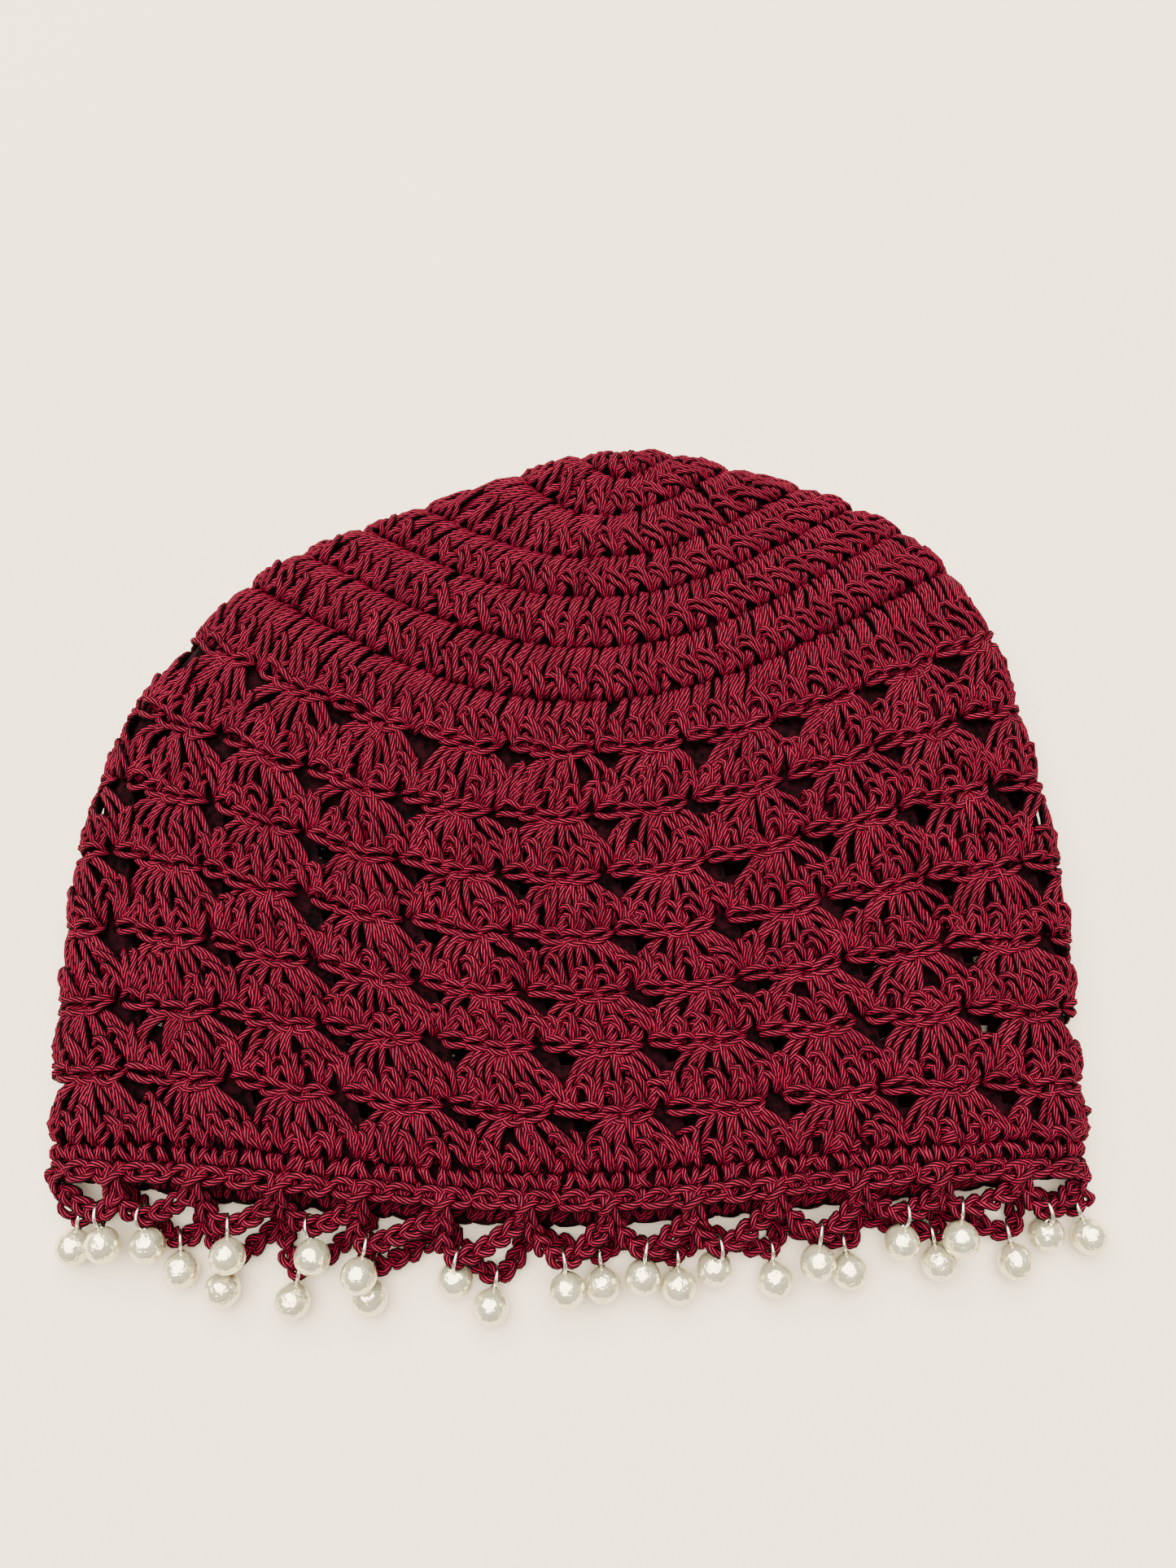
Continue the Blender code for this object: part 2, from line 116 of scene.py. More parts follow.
# Sideways places are shares of HALF_WIDTH, lengthways ones shares of CAP_LENGTH, rise is a share
# of TOP_RISE, and bend is how tightly a round's line sags about its middle.
ROUND_COLUMNS = ("left_x", "left_y", "right_x", "right_y", "middle_x", "middle_y", "rise", "bend")
ROUND_TABLE = np.array((
    (0.130, 1.000, 0.130, 1.000, 0.130, 1.000, 0.00, 1.2),
    (0.017, 0.993, 0.232, 0.996, 0.112, 0.950, 0.10, 1.2),
    (-0.120, 0.964, 0.360, 0.973, 0.077, 0.889, 0.30, 1.2),
    (-0.335, 0.909, 0.515, 0.941, 0.074, 0.820, 0.55, 1.2),
    (-0.464, 0.876, 0.627, 0.909, 0.069, 0.758, 0.75, 1.2),
    (-0.592, 0.839, 0.730, 0.872, 0.060, 0.683, 0.90, 1.2),
    (-0.701, 0.792, 0.824, 0.812, 0.034, 0.605, 1.00, 1.2),
    (-0.812, 0.708, 0.906, 0.707, 0.000, 0.533, 1.00, 1.2),
    (-0.923, 0.600, 0.941, 0.604, -0.026, 0.446, 1.00, 1.4),
    (-0.970, 0.500, 0.974, 0.498, -0.034, 0.364, 1.00, 1.7),
    (-1.000, 0.405, 0.996, 0.387, -0.034, 0.288, 1.00, 1.9),
    (-1.006, 0.303, 1.003, 0.289, -0.034, 0.215, 0.95, 2.2),
    (-1.006, 0.207, 0.998, 0.198, -0.026, 0.150, 0.85, 2.6),
    (-1.004, 0.120, 1.000, 0.106, -0.017, 0.071, 0.70, 3.0),
    (-0.998, 0.034, 0.997, 0.038, -0.017, 0.000, 0.55, 3.2),
))
print("rounds in the table:", len(ROUND_TABLE) - 1)


# %% One round's line
LINE_STEPS = 720  # from the left fold over the upper layer and back along the lower one


def smooth_step(x):
    """0 up to 0, 1 from 1, and 3x^2 - 2x^3 between."""
    x = np.clip(x, 0.0, 1.0)
    return x * x * (3.0 - 2.0 * x)


def spline_weights(controls, at):
    """A Catmull-Rom curve through its control points, as a matrix: the row for place t holds the
    share of each control point in it. Between points i and i+1 it is the cubic that starts and
    ends at them, with half the difference of each one's neighbours as its slope."""
    i = np.clip(np.floor(at).astype(int), 0, controls - 2)
    t = (at - i)[:, None]
    pick = np.eye(controls)
    before, p = pick[np.maximum(i - 1, 0)], pick[i]
    q, after = pick[i + 1], pick[np.minimum(i + 2, controls - 1)]
    slope_p, slope_q = (q - before) / 2.0, (after - p) / 2.0
    return (
        (2 * t**3 - 3 * t**2 + 1) * p
        + (t**3 - 2 * t**2 + t) * slope_p
        + (3 * t**2 - 2 * t**3) * q
        + (t**3 - t**2) * slope_q
    )


def smooth_points(control, count):
    """So many points, evenly spread, on the curve through each row of control points."""
    last = control.shape[1] - 1.0
    return spline_weights(control.shape[1], np.linspace(0.0, last, count)) @ control


def round_places(level):
    """The table's row at any level, in metres: below the shells' lower edge the hem band hangs
    straight down and pulls in a little."""
    below = max(level - HEM_LEVEL, 0.0)
    row = spline_weights(len(ROUND_TABLE), np.array([level - below]))[0] @ ROUND_TABLE
    places = dict(zip(ROUND_COLUMNS, row))
    for side in ("left", "right", "middle"):
        places[side + "_x"] *= HALF_WIDTH * (1.0 - (1.0 - HEM_PULL) * below)
        places[side + "_y"] = (places[side + "_y"] - ORIGIN_SHARE) * CAP_LENGTH
        places[side + "_y"] -= HEM_HEIGHT * below
    return places


def round_line(level):
    """The closed line of one round: over the upper layer from the left fold to the right one and
    back along the lower layer. In plan it sags as a power of 1 - across^2. In height each layer
    leaves the fold on a quarter ellipse, and the upper one rises on towards its middle."""
    angle = np.linspace(0.0, 2.0 * math.pi, LINE_STEPS + 1)
    across = -np.cos(angle)
    upper = np.sin(angle) >= 0.0
    p = round_places(level)
    chord = (across + 1.0) / 2.0
    bow = 1.0 - across**2
    x = p["left_x"] + (p["right_x"] - p["left_x"]) * chord
    y = p["left_y"] + (p["right_y"] - p["left_y"]) * chord
    x = x + (p["middle_x"] - (p["left_x"] + p["right_x"]) / 2.0) * bow
    y = y + (p["middle_y"] - (p["left_y"] + p["right_y"]) / 2.0) * bow ** p["bend"]
    inward = (1.0 - np.abs(across)) * (p["right_x"] - p["left_x"]) / 2.0
    fold = np.sqrt(1.0 - (1.0 - np.clip(inward / FOLD_RADIUS, 0.0, 1.0)) ** 2)
    rise = TOP_RISE * p["rise"] * smooth_step(inward / RISE_REACH)
    z = np.where(upper, FOLD_HALF_HEIGHT * (1.0 + fold) + rise, FOLD_HALF_HEIGHT * (1.0 - fold))
    near_hem = smooth_step((level - HEM_LEVEL + SLIP_ROUNDS) / SLIP_ROUNDS)
    y = y - np.where(upper, 0.0, BACK_SLIP * near_hem * smooth_step(inward / RISE_REACH))
    return np.stack([x, y, z], axis=1)


hem_middle = round_line(HEM_LEVEL + 1.0)[LINE_STEPS // 4]
print("middle of the hem, upper layer, mm:", np.round(1000 * hem_middle, 1))

# %% The grid of the whole surface
LEVEL_STEPS = 16  # grid rows in one round
SHARE_STEPS = 1024  # grid columns once round the cap
LAST_LEVEL = HEM_LEVEL + 1


def unit(vectors):
    """Vectors scaled to length 1."""
    return vectors / np.maximum(np.linalg.norm(vectors, axis=-1, keepdims=True), 1e-12)


def way_along(lines):
    """How far along its line each point lies, for one line or for many."""
    step = np.linalg.norm(np.diff(lines, axis=-2), axis=-1)
    return np.concatenate([np.zeros_like(step[..., :1]), np.cumsum(step, axis=-1)], axis=-1)


def points_at(distance, line, way):
    """Points at distances along a line, whose own points lie at the distances in way."""
    return np.stack([np.interp(distance, way, line[:, i]) for i in range(3)], axis=-1)


grid_levels = np.arange(LAST_LEVEL * LEVEL_STEPS + 1) / LEVEL_STEPS
round_lines = [round_line(level) for level in grid_levels]
round_ways = [way_along(line) for line in round_lines]
round_lengths = np.array([way[-1] for way in round_ways])
cap_points = np.stack([points_at(np.linspace(0.0, way[-1], SHARE_STEPS + 1), line, way)
                       for line, way in zip(round_lines, round_ways)])

down = np.gradient(cap_points, axis=0)
around = np.roll(cap_points[:, :-1], -1, axis=1) - np.roll(cap_points[:, :-1], 1, axis=1)
around = np.concatenate([around, around[:, :1]], axis=1)
cap_normals = np.cross(down, around)
cap_normals[0] = cap_normals[1]
cap_normals /= np.linalg.norm(cap_normals, axis=2, keepdims=True)
cap_normals[:, :, 1] *= (1.0 - smooth_step(grid_levels - HEM_LEVEL + 1.0))[:, None]
cap_normals /= np.linalg.norm(cap_normals, axis=2, keepdims=True)
print("hem round, mm:", round(1000 * round_lengths[-1], 1))

# %% [markdown]
# ## From stitch to strand
#
# The yarn is a soft cotton, a little under 2 mm thick. The table presses the underside flat, so
# there the strands sink into the fabric, and above they stand free. One function carries a
# place (share, level, height) to a point in space. A second one copies a stitch to many places.
# Handmade stitches are never alike, so each copy gets its own width, height and slant, and each
# of its points is moved a little. Without that the cap would look like machine lace.

# %% A place on the cap
YARN_RADIUS = 0.00094
PRESSED = 0.0014  # how deep the underside's strands are pressed in
FOLD_RELIEF = 0.5  # of the heights on a fold, as a share of those on the flat


def on_cap(place):
    """Points and outward normals for places (share, level, height). Both are blended from the
    four grid points around the place, and the point then moves along the normal by its height.
    A fold draws the yarn tight, so heights count for less the steeper the surface is."""
    column = np.mod(place[..., 0], 1.0) * SHARE_STEPS
    row = np.clip(place[..., 1], 0.0, LAST_LEVEL) * LEVEL_STEPS
    c = np.minimum(column.astype(int), SHARE_STEPS - 1)
    r = np.minimum(row.astype(int), len(grid_levels) - 2)
    fc, fr = (column - c)[..., None], (row - r)[..., None]

    def blended(grid):
        upper = grid[r, c] * (1 - fc) + grid[r, c + 1] * fc
        lower = grid[r + 1, c] * (1 - fc) + grid[r + 1, c + 1] * fc
        return upper * (1 - fr) + lower * fr

    point, normal = blended(cap_points), unit(blended(cap_normals))
    pressed = 1.0 - smooth_step(point[..., 2] / FOLD_HALF_HEIGHT)
    relief = FOLD_RELIEF + (1.0 - FOLD_RELIEF) * np.abs(normal[..., 2])
    lift = place[..., 2] * relief - YARN_RADIUS - PRESSED * pressed
    return point + normal * lift[..., None], normal


print("yarn, mm:", round(2000 * YARN_RADIUS, 2))

# %% Copies of a stitch
UNEVEN_ALONG = 0.00030  # how far a point is off, along the fabric
UNEVEN_HEIGHT = 0.00020  # how far a point is off, above the fabric
STITCH_SPREAD = 0.0005  # how much wider or narrower a stitch is
STITCH_SLANT = 0.0008  # how far a stitch's lower end is to the side
SLOW_LEAN = 0.0009  # the same for whole stretches of a round
LEAN_WAVES = 5.0  # such stretches, to and fro, in one round
LEAN_SHIFT = 0.37  # of a wave, from one round to the next
LEAST_ROUND = 0.05  # shortest length of a round: at the top it shrinks to a point
ROUND_HEIGHT = 0.0125  # height of an average round


def place_stitches(template, shares, levels, width, height, loose=1.0):
    """Copies of a stitch: each strand of the template is a row of points (x, y, h). x counts in
    widths along the round, y in heights down it, and h in yarn thicknesses above the fabric. A
    template of four axes holds strands of its own for each copy. The looser the work, the
    further its points are off."""
    template = np.asarray(template)
    template = template if template.ndim == 4 else template[None]
    count = len(shares)
    turn = 2.0 * math.pi * (LEAN_WAVES * shares + LEAN_SHIFT * levels)
    slant = SLOW_LEAN * np.sin(turn) + STITCH_SLANT * rng.normal(size=count)
    wider = STITCH_SPREAD * rng.normal(size=count)
    x, y, h = (template[..., i] for i in range(3))
    level = np.reshape(levels, (-1, 1, 1)) + y * height
    length = np.maximum(np.interp(level, grid_levels, round_lengths), LEAST_ROUND)
    aside = wider[:, None, None] * x + slant[:, None, None] * (y - 0.5)
    share = np.reshape(shares, (-1, 1, 1)) + x * np.reshape(width, (-1, 1, 1)) + aside / length
    rise = h * 2.0 * YARN_RADIUS
    place = np.stack(np.broadcast_arrays(share, level, rise), axis=-1)
    shake = rng.normal(size=place.shape) * loose
    place[..., 0] += shake[..., 0] * UNEVEN_ALONG / length
    place[..., 1] += shake[..., 1] * UNEVEN_ALONG / ROUND_HEIGHT
    place[..., 2] += shake[..., 2] * UNEVEN_HEIGHT
    return place.reshape(-1, *place.shape[-2:])


print("average round, mm:", 1000 * ROUND_HEIGHT)

# %% [markdown]
# ## Tubes of yarn
#
# A curve object with a bevel would give the same tubes, but there are thousands of strands, and
# their material needs a map that counts metres along each one. So all tubes of a kind are worked
# out as one array, with a ring of six points round each place along a strand. Towards its ends a
# strand gets thinner, and both ends are closed and lie buried in the fabric. The map runs once
# round the yarn in u and along it, in metres, in v.

# %% Faces between rings of points
def ring_quads(rings, sides, closed=False):
    """Quads that join each ring to the next, as point numbers. In a closed row of rings the last
    one is joined to the first as well."""
    steps = rings if closed else rings - 1
    i, j = np.meshgrid(np.arange(steps), np.arange(sides), indexing="ij")
    n, k = (i + 1) % rings, (j + 1) % sides
    corners = [i * sides + j, n * sides + j, n * sides + k, i * sides + k]
    return np.stack(corners, axis=-1).reshape(-1, 4)


def ring_caps(rings, sides):
    """Triangles from the first and the last ring to a pole each. The poles are the two points
    after the rings."""
    j = np.arange(sides)
    k, last, pole = (j + 1) % sides, (rings - 1) * sides, np.full(sides, rings * sides)
    start = np.stack([pole, j, k], axis=-1)
    end = np.stack([pole + 1, last + k, last + j], axis=-1)
    return np.concatenate([start, end])


print("faces of a tube with 8 rings:", len(ring_quads(8, 6)) + len(ring_caps(8, 6)))

# %% Tubes as arrays
RING_SIDES = 6
END_THICKNESS = 0.55  # of a strand's end, as a share of its middle
TAPER_POWER = 6  # the higher, the nearer to its ends a strand gets thin
THICK_AND_THIN = (0.94, 1.06)  # between these shares of its radius the yarn varies


def tubes(lines, ups, radius):
    """Tubes round n lines of m points. At each point, side is square to the line and to the
    fabric's normal, and the ring is centre + radius * (cos a * side + sin a * up)."""
    n, m = lines.shape[:2]
    tangent = unit(np.gradient(lines, axis=1))
    side = unit(np.cross(tangent, ups))
    up = np.cross(side, tangent)
    t = np.linspace(-1.0, 1.0, m)
    taper = END_THICKNESS + (1.0 - END_THICKNESS) * (1.0 - t**TAPER_POWER)
    a = np.arange(RING_SIDES) * 2.0 * math.pi / RING_SIDES
    thick = (np.broadcast_to(radius, (n,))[:, None] * taper)[:, :, None, None]
    ring = side[:, :, None] * np.cos(a)[:, None] + up[:, :, None] * np.sin(a)[:, None]
    body = (lines[:, :, None] + thick * ring).reshape(n, m * RING_SIDES, 3)
    points = np.concatenate([body, lines[:, :1], lines[:, -1:]], axis=1)

    v = way_along(lines) + rng.uniform(0.0, 1.0, (n, 1))
    u = np.arange(RING_SIDES + 1) / RING_SIDES
    i, j = np.divmod(np.arange((m - 1) * RING_SIDES), RING_SIDES)
    quad_v = np.stack([v[:, i], v[:, i + 1], v[:, i + 1], v[:, i]], axis=-1)
    quad_u = np.broadcast_to(np.stack([u[j], u[j], u[j + 1], u[j + 1]], axis=-1), quad_v.shape)
    cap_u = np.stack([u[:-1] + 0.5 / RING_SIDES, u[:-1], u[1:]], axis=-1)
    cap_u = np.broadcast_to(np.concatenate([cap_u, cap_u[:, [0, 2, 1]]]), (n, 2 * RING_SIDES, 3))
    cap_v = np.repeat(v[:, [0, -1]], RING_SIDES, axis=1)[:, :, None] + np.zeros(3)
    offset = (np.arange(n) * points.shape[1])[:, None, None]
    return {
        "points": points.reshape(-1, 3),
        "quads": (ring_quads(m, RING_SIDES) + offset).reshape(-1, 4),
        "tris": (ring_caps(m, RING_SIDES) + offset).reshape(-1, 3),
        "quad_uv": np.stack([quad_u, quad_v], axis=-1).reshape(-1, 2),
        "tri_uv": np.stack([cap_u, cap_v], axis=-1).reshape(-1, 2),
    }


def strands(place, rings, facing=1.0):
    """Tubes that follow the cap through control places (share, level, height), each with so many
    rings, and none below the table. Facing is 1 for strands that are seen from outside the cap
    and -1 for those seen from inside it. The yarn's finish leaves the side towards up lit and
    paints shade on the others. At a fold, up leans half way from the normal to the vertical, so
    that the lit side faces upwards there too."""
    lines, ups = on_cap(smooth_points(place, rings))
    radius = YARN_RADIUS * rng.uniform(*THICK_AND_THIN, len(lines))
    lines[..., 2] = np.maximum(lines[..., 2], radius[:, None])
    ups = facing * ups
    # At a fold this turns the painted shade of the flanks away from the top.
    ups[..., 2] += 1.0 - np.abs(ups[..., 2])
    return tubes(lines, unit(ups), radius)


# %% From arrays to a mesh
NO_TRIS = np.zeros((0, 3), int)


def plain_part(points, quads, tris, flat):
    """A part whose map has one place (u, v) for each of its points."""
    return {"points": points, "quads": quads, "tris": tris,
            "quad_uv": flat[quads].reshape(-1, 2), "tri_uv": flat[tris].reshape(-1, 2)}


def mesh_piece(name, parts, finish):
    """One object from a list of array parts: points, quads, tris and their maps are joined, put
    into a mesh with foreach_set, shaded smooth and set to ride with the cap."""
    offsets = np.cumsum([0] + [len(part["points"]) for part in parts])
    points = np.concatenate([part["points"] for part in parts])
    quads = np.concatenate([part["quads"] + o for part, o in zip(parts, offsets)])
    tris = np.concatenate([part["tris"] + o for part, o in zip(parts, offsets)])
    maps = np.concatenate([part[key] for key in ("quad_uv", "tri_uv") for part in parts])
    corners = np.concatenate([quads.ravel(), tris.ravel()])
    starts = np.concatenate([np.arange(len(quads)) * 4, len(quads) * 4 + np.arange(len(tris)) * 3])
    mesh = bpy.data.meshes.new(name)
    mesh.vertices.add(len(points))
    mesh.vertices.foreach_set("co", points.ravel())
    mesh.loops.add(len(corners))
    mesh.loops.foreach_set("vertex_index", corners.astype(np.int32))
    mesh.polygons.add(len(starts))
    mesh.polygons.foreach_set("loop_start", starts.astype(np.int32))
    mesh.update(calc_edges=True)
    layer = mesh.uv_layers.new(name="yarn")
    layer.uv.foreach_set("vector", maps.ravel().astype(np.float32))
    mesh.shade_smooth()
    mesh.materials.append(finish)
    made = add_object(name, mesh)
    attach(made, "root")
    print(name, "triangles:", 2 * len(quads) + len(tris))
    return made


# %% [markdown]
# ## The yarn's finish
#
# The yarn is a mercerised cotton, dyed a deep cherry red. It is plied: eight plies turn slowly
# round each other, and the grooves between them are painted near black as shade. Fine fibres
# break the light along each ply, and the dye is never quite even from one stretch to the next. A
# wave texture on the tube's own map draws the plies, one noise the fibres and another, on object
# coordinates, the slow change of the dye. The u of the map also tells which way a bit of yarn
# faces. Where it faces sideways or down its colour is darkened: painted shade for the crease
# between it and its neighbour. The fabric behind the strands gets a second finish without plies,
# whose near-black colour is painted shade.

# %% Helpers for materials
def from_hex(code):
    """A colour as written on screen, turned to the linear values that light adds up in."""
    values = [int(code[i:i + 2], 16) / 255.0 for i in (1, 3, 5)]
    linear = [v / 12.92 if v <= 0.04045 else ((v + 0.055) / 1.055) ** 2.4 for v in values]
    return (*linear, 1.0)


def feed(tree, node, inputs):
    """Fill a node's inputs. Each is a value, or another node's output to link."""
    for socket, value in inputs.items():
        if isinstance(value, bpy.types.NodeSocket):
            tree.links.new(value, node.inputs[socket])
        else:
            node.inputs[socket].default_value = value


def add_node(tree, kind, inputs=None, **settings):
    """One node with its settings and inputs."""
    made = tree.nodes.new(kind)
    for name, value in settings.items():
        setattr(made, name, value)
    feed(tree, made, inputs or {})
    return made


def patches(tree, size, detail=2.0):
    """A noise on object coordinates, whose patches are so many metres wide."""
    places = add_node(tree, "ShaderNodeTexCoord")
    return add_node(tree, "ShaderNodeTexNoise", {
        "Vector": places.outputs["Object"], "Scale": 1.0 / size, "Detail": detail,
    }).outputs["Fac"]


def stretched(tree, value, low, high, to_low=0.0, to_high=1.0, smooth=False):
    """A value carried from one range to another, straight or by a smooth step."""
    return add_node(tree, "ShaderNodeMapRange", {
        "Value": value, "From Min": low, "From Max": high, "To Min": to_low, "To Max": to_high,
    }, interpolation_type="SMOOTHSTEP" if smooth else "LINEAR").outputs["Result"]


def two_tones(tree, factor, first, second):
    """A mix of two colours, given as they are written on screen."""
    return add_node(tree, "ShaderNodeMix", {
        "Factor": factor, "A": from_hex(first), "B": from_hex(second),
    }, data_type="RGBA").outputs["Result"]


def bumped(tree, height, distance, strength=1.0):
    """A bump in which a height of 1 stands for so many metres."""
    return add_node(tree, "ShaderNodeBump", {
        "Height": height, "Distance": distance, "Strength": strength,
    }).outputs["Normal"]


def new_finish(name):
    """A new material: its tree and its shader, ready for inputs."""
    finish = bpy.data.materials.new(name)
    finish.use_nodes = True
    return finish, finish.node_tree, finish.node_tree.nodes["Principled BSDF"]


print("mid grey, linear:", round(from_hex("#808080")[0], 3))

# %% Mercerised cotton
YARN_RED = "#850c30"
PLIES = 8
PLY_SPACING = 0.0017  # between grooves, along the yarn, in metres
PLY_RELIEF = 0.0007  # from groove to ridge
WAVE_UNIT = 2.0 * math.pi / 10.0  # map distance of one band of a diagonal wave texture
WAVE_EDGES = (0.25, 0.76)  # of the wave: up to the first it is groove, from the second on ridge
FIBRE_LENGTH = 0.0011  # a tuft of fibres: single ones are far too fine to show here
FIBRE_TUFTS = 22  # side by side round the yarn
FIBRE_HEIGHT = 0.25  # of a fibre, as a share of a ply's
DYE_PATCH = 0.0077  # a stretch of even colour
DYE_RANGE = (0.80, 1.14)  # the darkest and the lightest dye, as shares of the even one
# Painted shade on the yarn's flanks: how much of the colour is left there, and where it starts.
PAINTED_FLANK_LIGHT = 0.04  # of the yarn's flanks, which lie in the shade of their neighbours
FLANK_EDGES = (0.38, 0.92)  # cosines of the way it faces, from flank to open side
SHADOW_LUMP = 2.0 * YARN_RADIUS
SHADOW_RELIEF = 0.0012


def cherry_cotton():
    """Plied cotton: bands at PLIES * u + v / PLY_SPACING, fibres, uneven dye, and painted shade in
    the grooves and on the flanks.
    """
    finish, tree, shader = new_finish("mercerised_cotton_cherry")
    yarn_map = add_node(tree, "ShaderNodeUVMap", uv_map="yarn").outputs["UV"]
    bands = add_node(tree, "ShaderNodeMapping", {
        "Vector": yarn_map, "Scale": (PLIES * WAVE_UNIT, WAVE_UNIT / PLY_SPACING, 1.0),
    })
    plies = add_node(tree, "ShaderNodeTexWave", {
        "Vector": bands.outputs["Vector"],
        "Scale": 1.0, "Distortion": 0.6, "Detail": 1.0, "Detail Scale": 2.0,
    }, wave_type="BANDS", bands_direction="DIAGONAL", wave_profile="SIN")
    ridge = stretched(tree, plies.outputs["Fac"], *WAVE_EDGES, smooth=True)
    tufts = add_node(tree, "ShaderNodeMapping", {
        "Vector": yarn_map, "Scale": (FIBRE_TUFTS, 1.0 / FIBRE_LENGTH, 1.0),
    })
    fibres = add_node(tree, "ShaderNodeTexNoise", {
        "Vector": tufts.outputs["Vector"], "Scale": 1.0, "Detail": 3.0, "Roughness": 0.6,
    })
    uneven = stretched(tree, patches(tree, DYE_PATCH), 0.3, 0.7, *DYE_RANGE)
    round_yarn = add_node(tree, "ShaderNodeSeparateXYZ", {"Vector": yarn_map}).outputs["X"]
    turn = add_node(tree, "ShaderNodeMath", {
        0: round_yarn, 1: 2.0 * math.pi, 2: -math.pi / 2.0,
    }, operation="MULTIPLY_ADD")
    outward = add_node(tree, "ShaderNodeMath", {0: turn.outputs["Value"]}, operation="COSINE")
    # Painted shade: the colour darkens where the yarn faces sideways or down.
    flank = stretched(tree, outward.outputs["Value"], *FLANK_EDGES, PAINTED_FLANK_LIGHT, smooth=True)
    value = add_node(tree, "ShaderNodeMath", {0: uneven, 1: flank}, operation="MULTIPLY")
    # Painted shade: the grooves between the plies are near black, the ridges the yarn's red.
    shaded = add_node(tree, "ShaderNodeHueSaturation", {
        "Color": two_tones(tree, ridge, "#080002", YARN_RED), "Value": value.outputs["Value"],
    })
    height = add_node(tree, "ShaderNodeMath", {
        0: fibres.outputs["Fac"], 1: FIBRE_HEIGHT, 2: ridge,
    }, operation="MULTIPLY_ADD")
    feed(tree, shader, {
        "Base Color": shaded.outputs["Color"],
        "Normal": bumped(tree, height.outputs["Value"], PLY_RELIEF),
        "Roughness": 0.75, "Specular IOR Level": 0.06,
    })
    return finish


def shadowed_cotton():
    """The backs of the stitches, deep in the fabric: lumpy, the size of a strand, and near black,
    which is painted shade.
    """
    finish, tree, shader = new_finish("cotton_in_shadow")
    lumps = patches(tree, SHADOW_LUMP)
    spread = stretched(tree, lumps, 0.38, 0.66)
    feed(tree, shader, {
        "Base Color": two_tones(tree, spread, "#020000", "#1c0208"),
        "Normal": bumped(tree, lumps, SHADOW_RELIEF),
        "Roughness": 0.85, "Specular IOR Level": 0.05,
    })
    return finish


cotton, shadow = cherry_cotton(), shadowed_cotton()
print("plies:", PLIES, "grooves, mm:", 1000 * PLY_SPACING)

# %% [markdown]
# ## The crown
#
# The whole cap is double crochet, and one such stitch shows as seven strokes: three at its foot
# that lean a little to the left, two wraps that lie over them and slant down to the right, and
# two short strokes below. Side by side that looks like herringbone. Seven rounds, with twelve
# stitches more in each, make a disc that cups over the head. The stitch is written down once as
# a few strands, and numpy repeats it.

# %% One double crochet stitch
POST_STRANDS = (
    ((0.37, 0.00, -0.6), (0.31, 0.18, 0.50), (0.20, 0.44, 0.25), (0.12, 0.72, -0.6)),
    ((0.69, 0.00, -0.6), (0.63, 0.18, 0.65), (0.51, 0.46, 0.35), (0.43, 0.76, -0.6)),
    ((1.02, 0.00, -0.6), (0.95, 0.20, 0.55), (0.84, 0.48, 0.20), (0.75, 0.80, -0.6)),
)
WRAP_STRANDS = (
    ((-0.14, 0.48, -0.5), (0.04, 0.43, 0.60), (0.38, 0.53, 1.00),
     (0.71, 0.70, 0.95), (0.94, 0.87, 0.50), (1.06, 1.00, -0.55)),
    ((-0.10, 0.63, -0.5), (0.06, 0.59, 0.50), (0.34, 0.69, 0.90),
     (0.60, 0.83, 0.80), (0.77, 0.93, 0.40), (0.86, 1.02, -0.55)),
)
TIP_STRANDS = (
    ((0.24, 0.68, 0.1), (0.13, 0.83, 0.60), (0.02, 1.00, -0.5)),
    ((0.43, 0.78, 0.1), (0.34, 0.89, 0.55), (0.26, 1.01, -0.5)),
)
print("strands in a stitch:", len(POST_STRANDS) + len(WRAP_STRANDS) + len(TIP_STRANDS))

# %% All stitches of the crown
STITCHES_ADDED = 12  # from each round to the next

crown_shares, crown_levels, crown_widths = [], [], []
for number in range(1, CROWN_ROUNDS + 1):
    count = STITCHES_ADDED * number
    crown_shares.append((np.arange(count) + rng.uniform(0.0, 1.0)) / count)
    crown_levels.append(np.full(count, number - 1.0))
    crown_widths.append(np.full(count, 1.0 / count))
crown_where = [np.concatenate(rows) for rows in (crown_shares, crown_levels, crown_widths)] + [1.0]

crown_stitches = mesh_piece("crown_stitches", [
    strands(place_stitches(POST_STRANDS, *crown_where), 6),
    strands(place_stitches(WRAP_STRANDS, *crown_where), 9),
    strands(place_stitches(TIP_STRANDS, *crown_where), 5),
], cotton)
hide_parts("crown")

# %% [markdown]
# ## The shells
#
# A shell is five double crochet stitches worked into one place, so they spread like a fan. The
# strands of one stitch are kept as a table again. Its posts are longer, and in its lower half
# wraps and tips lean towards each other, which shows as small chevrons. A formula bends five
# copies round the gathering point: the outer ones leave it sideways, turn down and end a little
# higher, so the fan gets round sides. A braided chain runs along the round from shell to shell.
# It sags towards each gathering point, and dark holes stay open under it.

# %% The strands of one shell
SHELL_STITCHES = 5
FAN_REACH = 0.61  # half the width that a fan opens to, in shells
FAN_PINCH = 0.08  # share of that width that it loses again at its lower edge
FAN_GATHER = 0.05  # half its width at the gathering point
FAN_ROUND = 0.72  # the way of the outermost strand: 1 is a quarter circle, 0 a straight line
FAN_SHORT = 0.11  # how much higher the outermost strand ends, as a share of the height
FAN_BEND = 1.3  # power of the distance from the middle: a higher one bends the inner ones less
FAN_BULGE = 0.5  # in yarn thicknesses
STITCH_NUDGE = (0.18, 0.09)  # across and along, in widths and heights of a stitch
LONG_POSTS = (
    ((0.25, 0.02, -0.5), (0.25, 0.18, 0.30), (0.27, 0.38, 0.45),
     (0.34, 0.62, 0.00), (0.38, 0.94, -0.80)),
    ((0.73, 0.02, -0.5), (0.73, 0.18, 0.50), (0.75, 0.40, 0.55),
     (0.82, 0.64, 0.00), (0.88, 0.94, -0.80)),
)
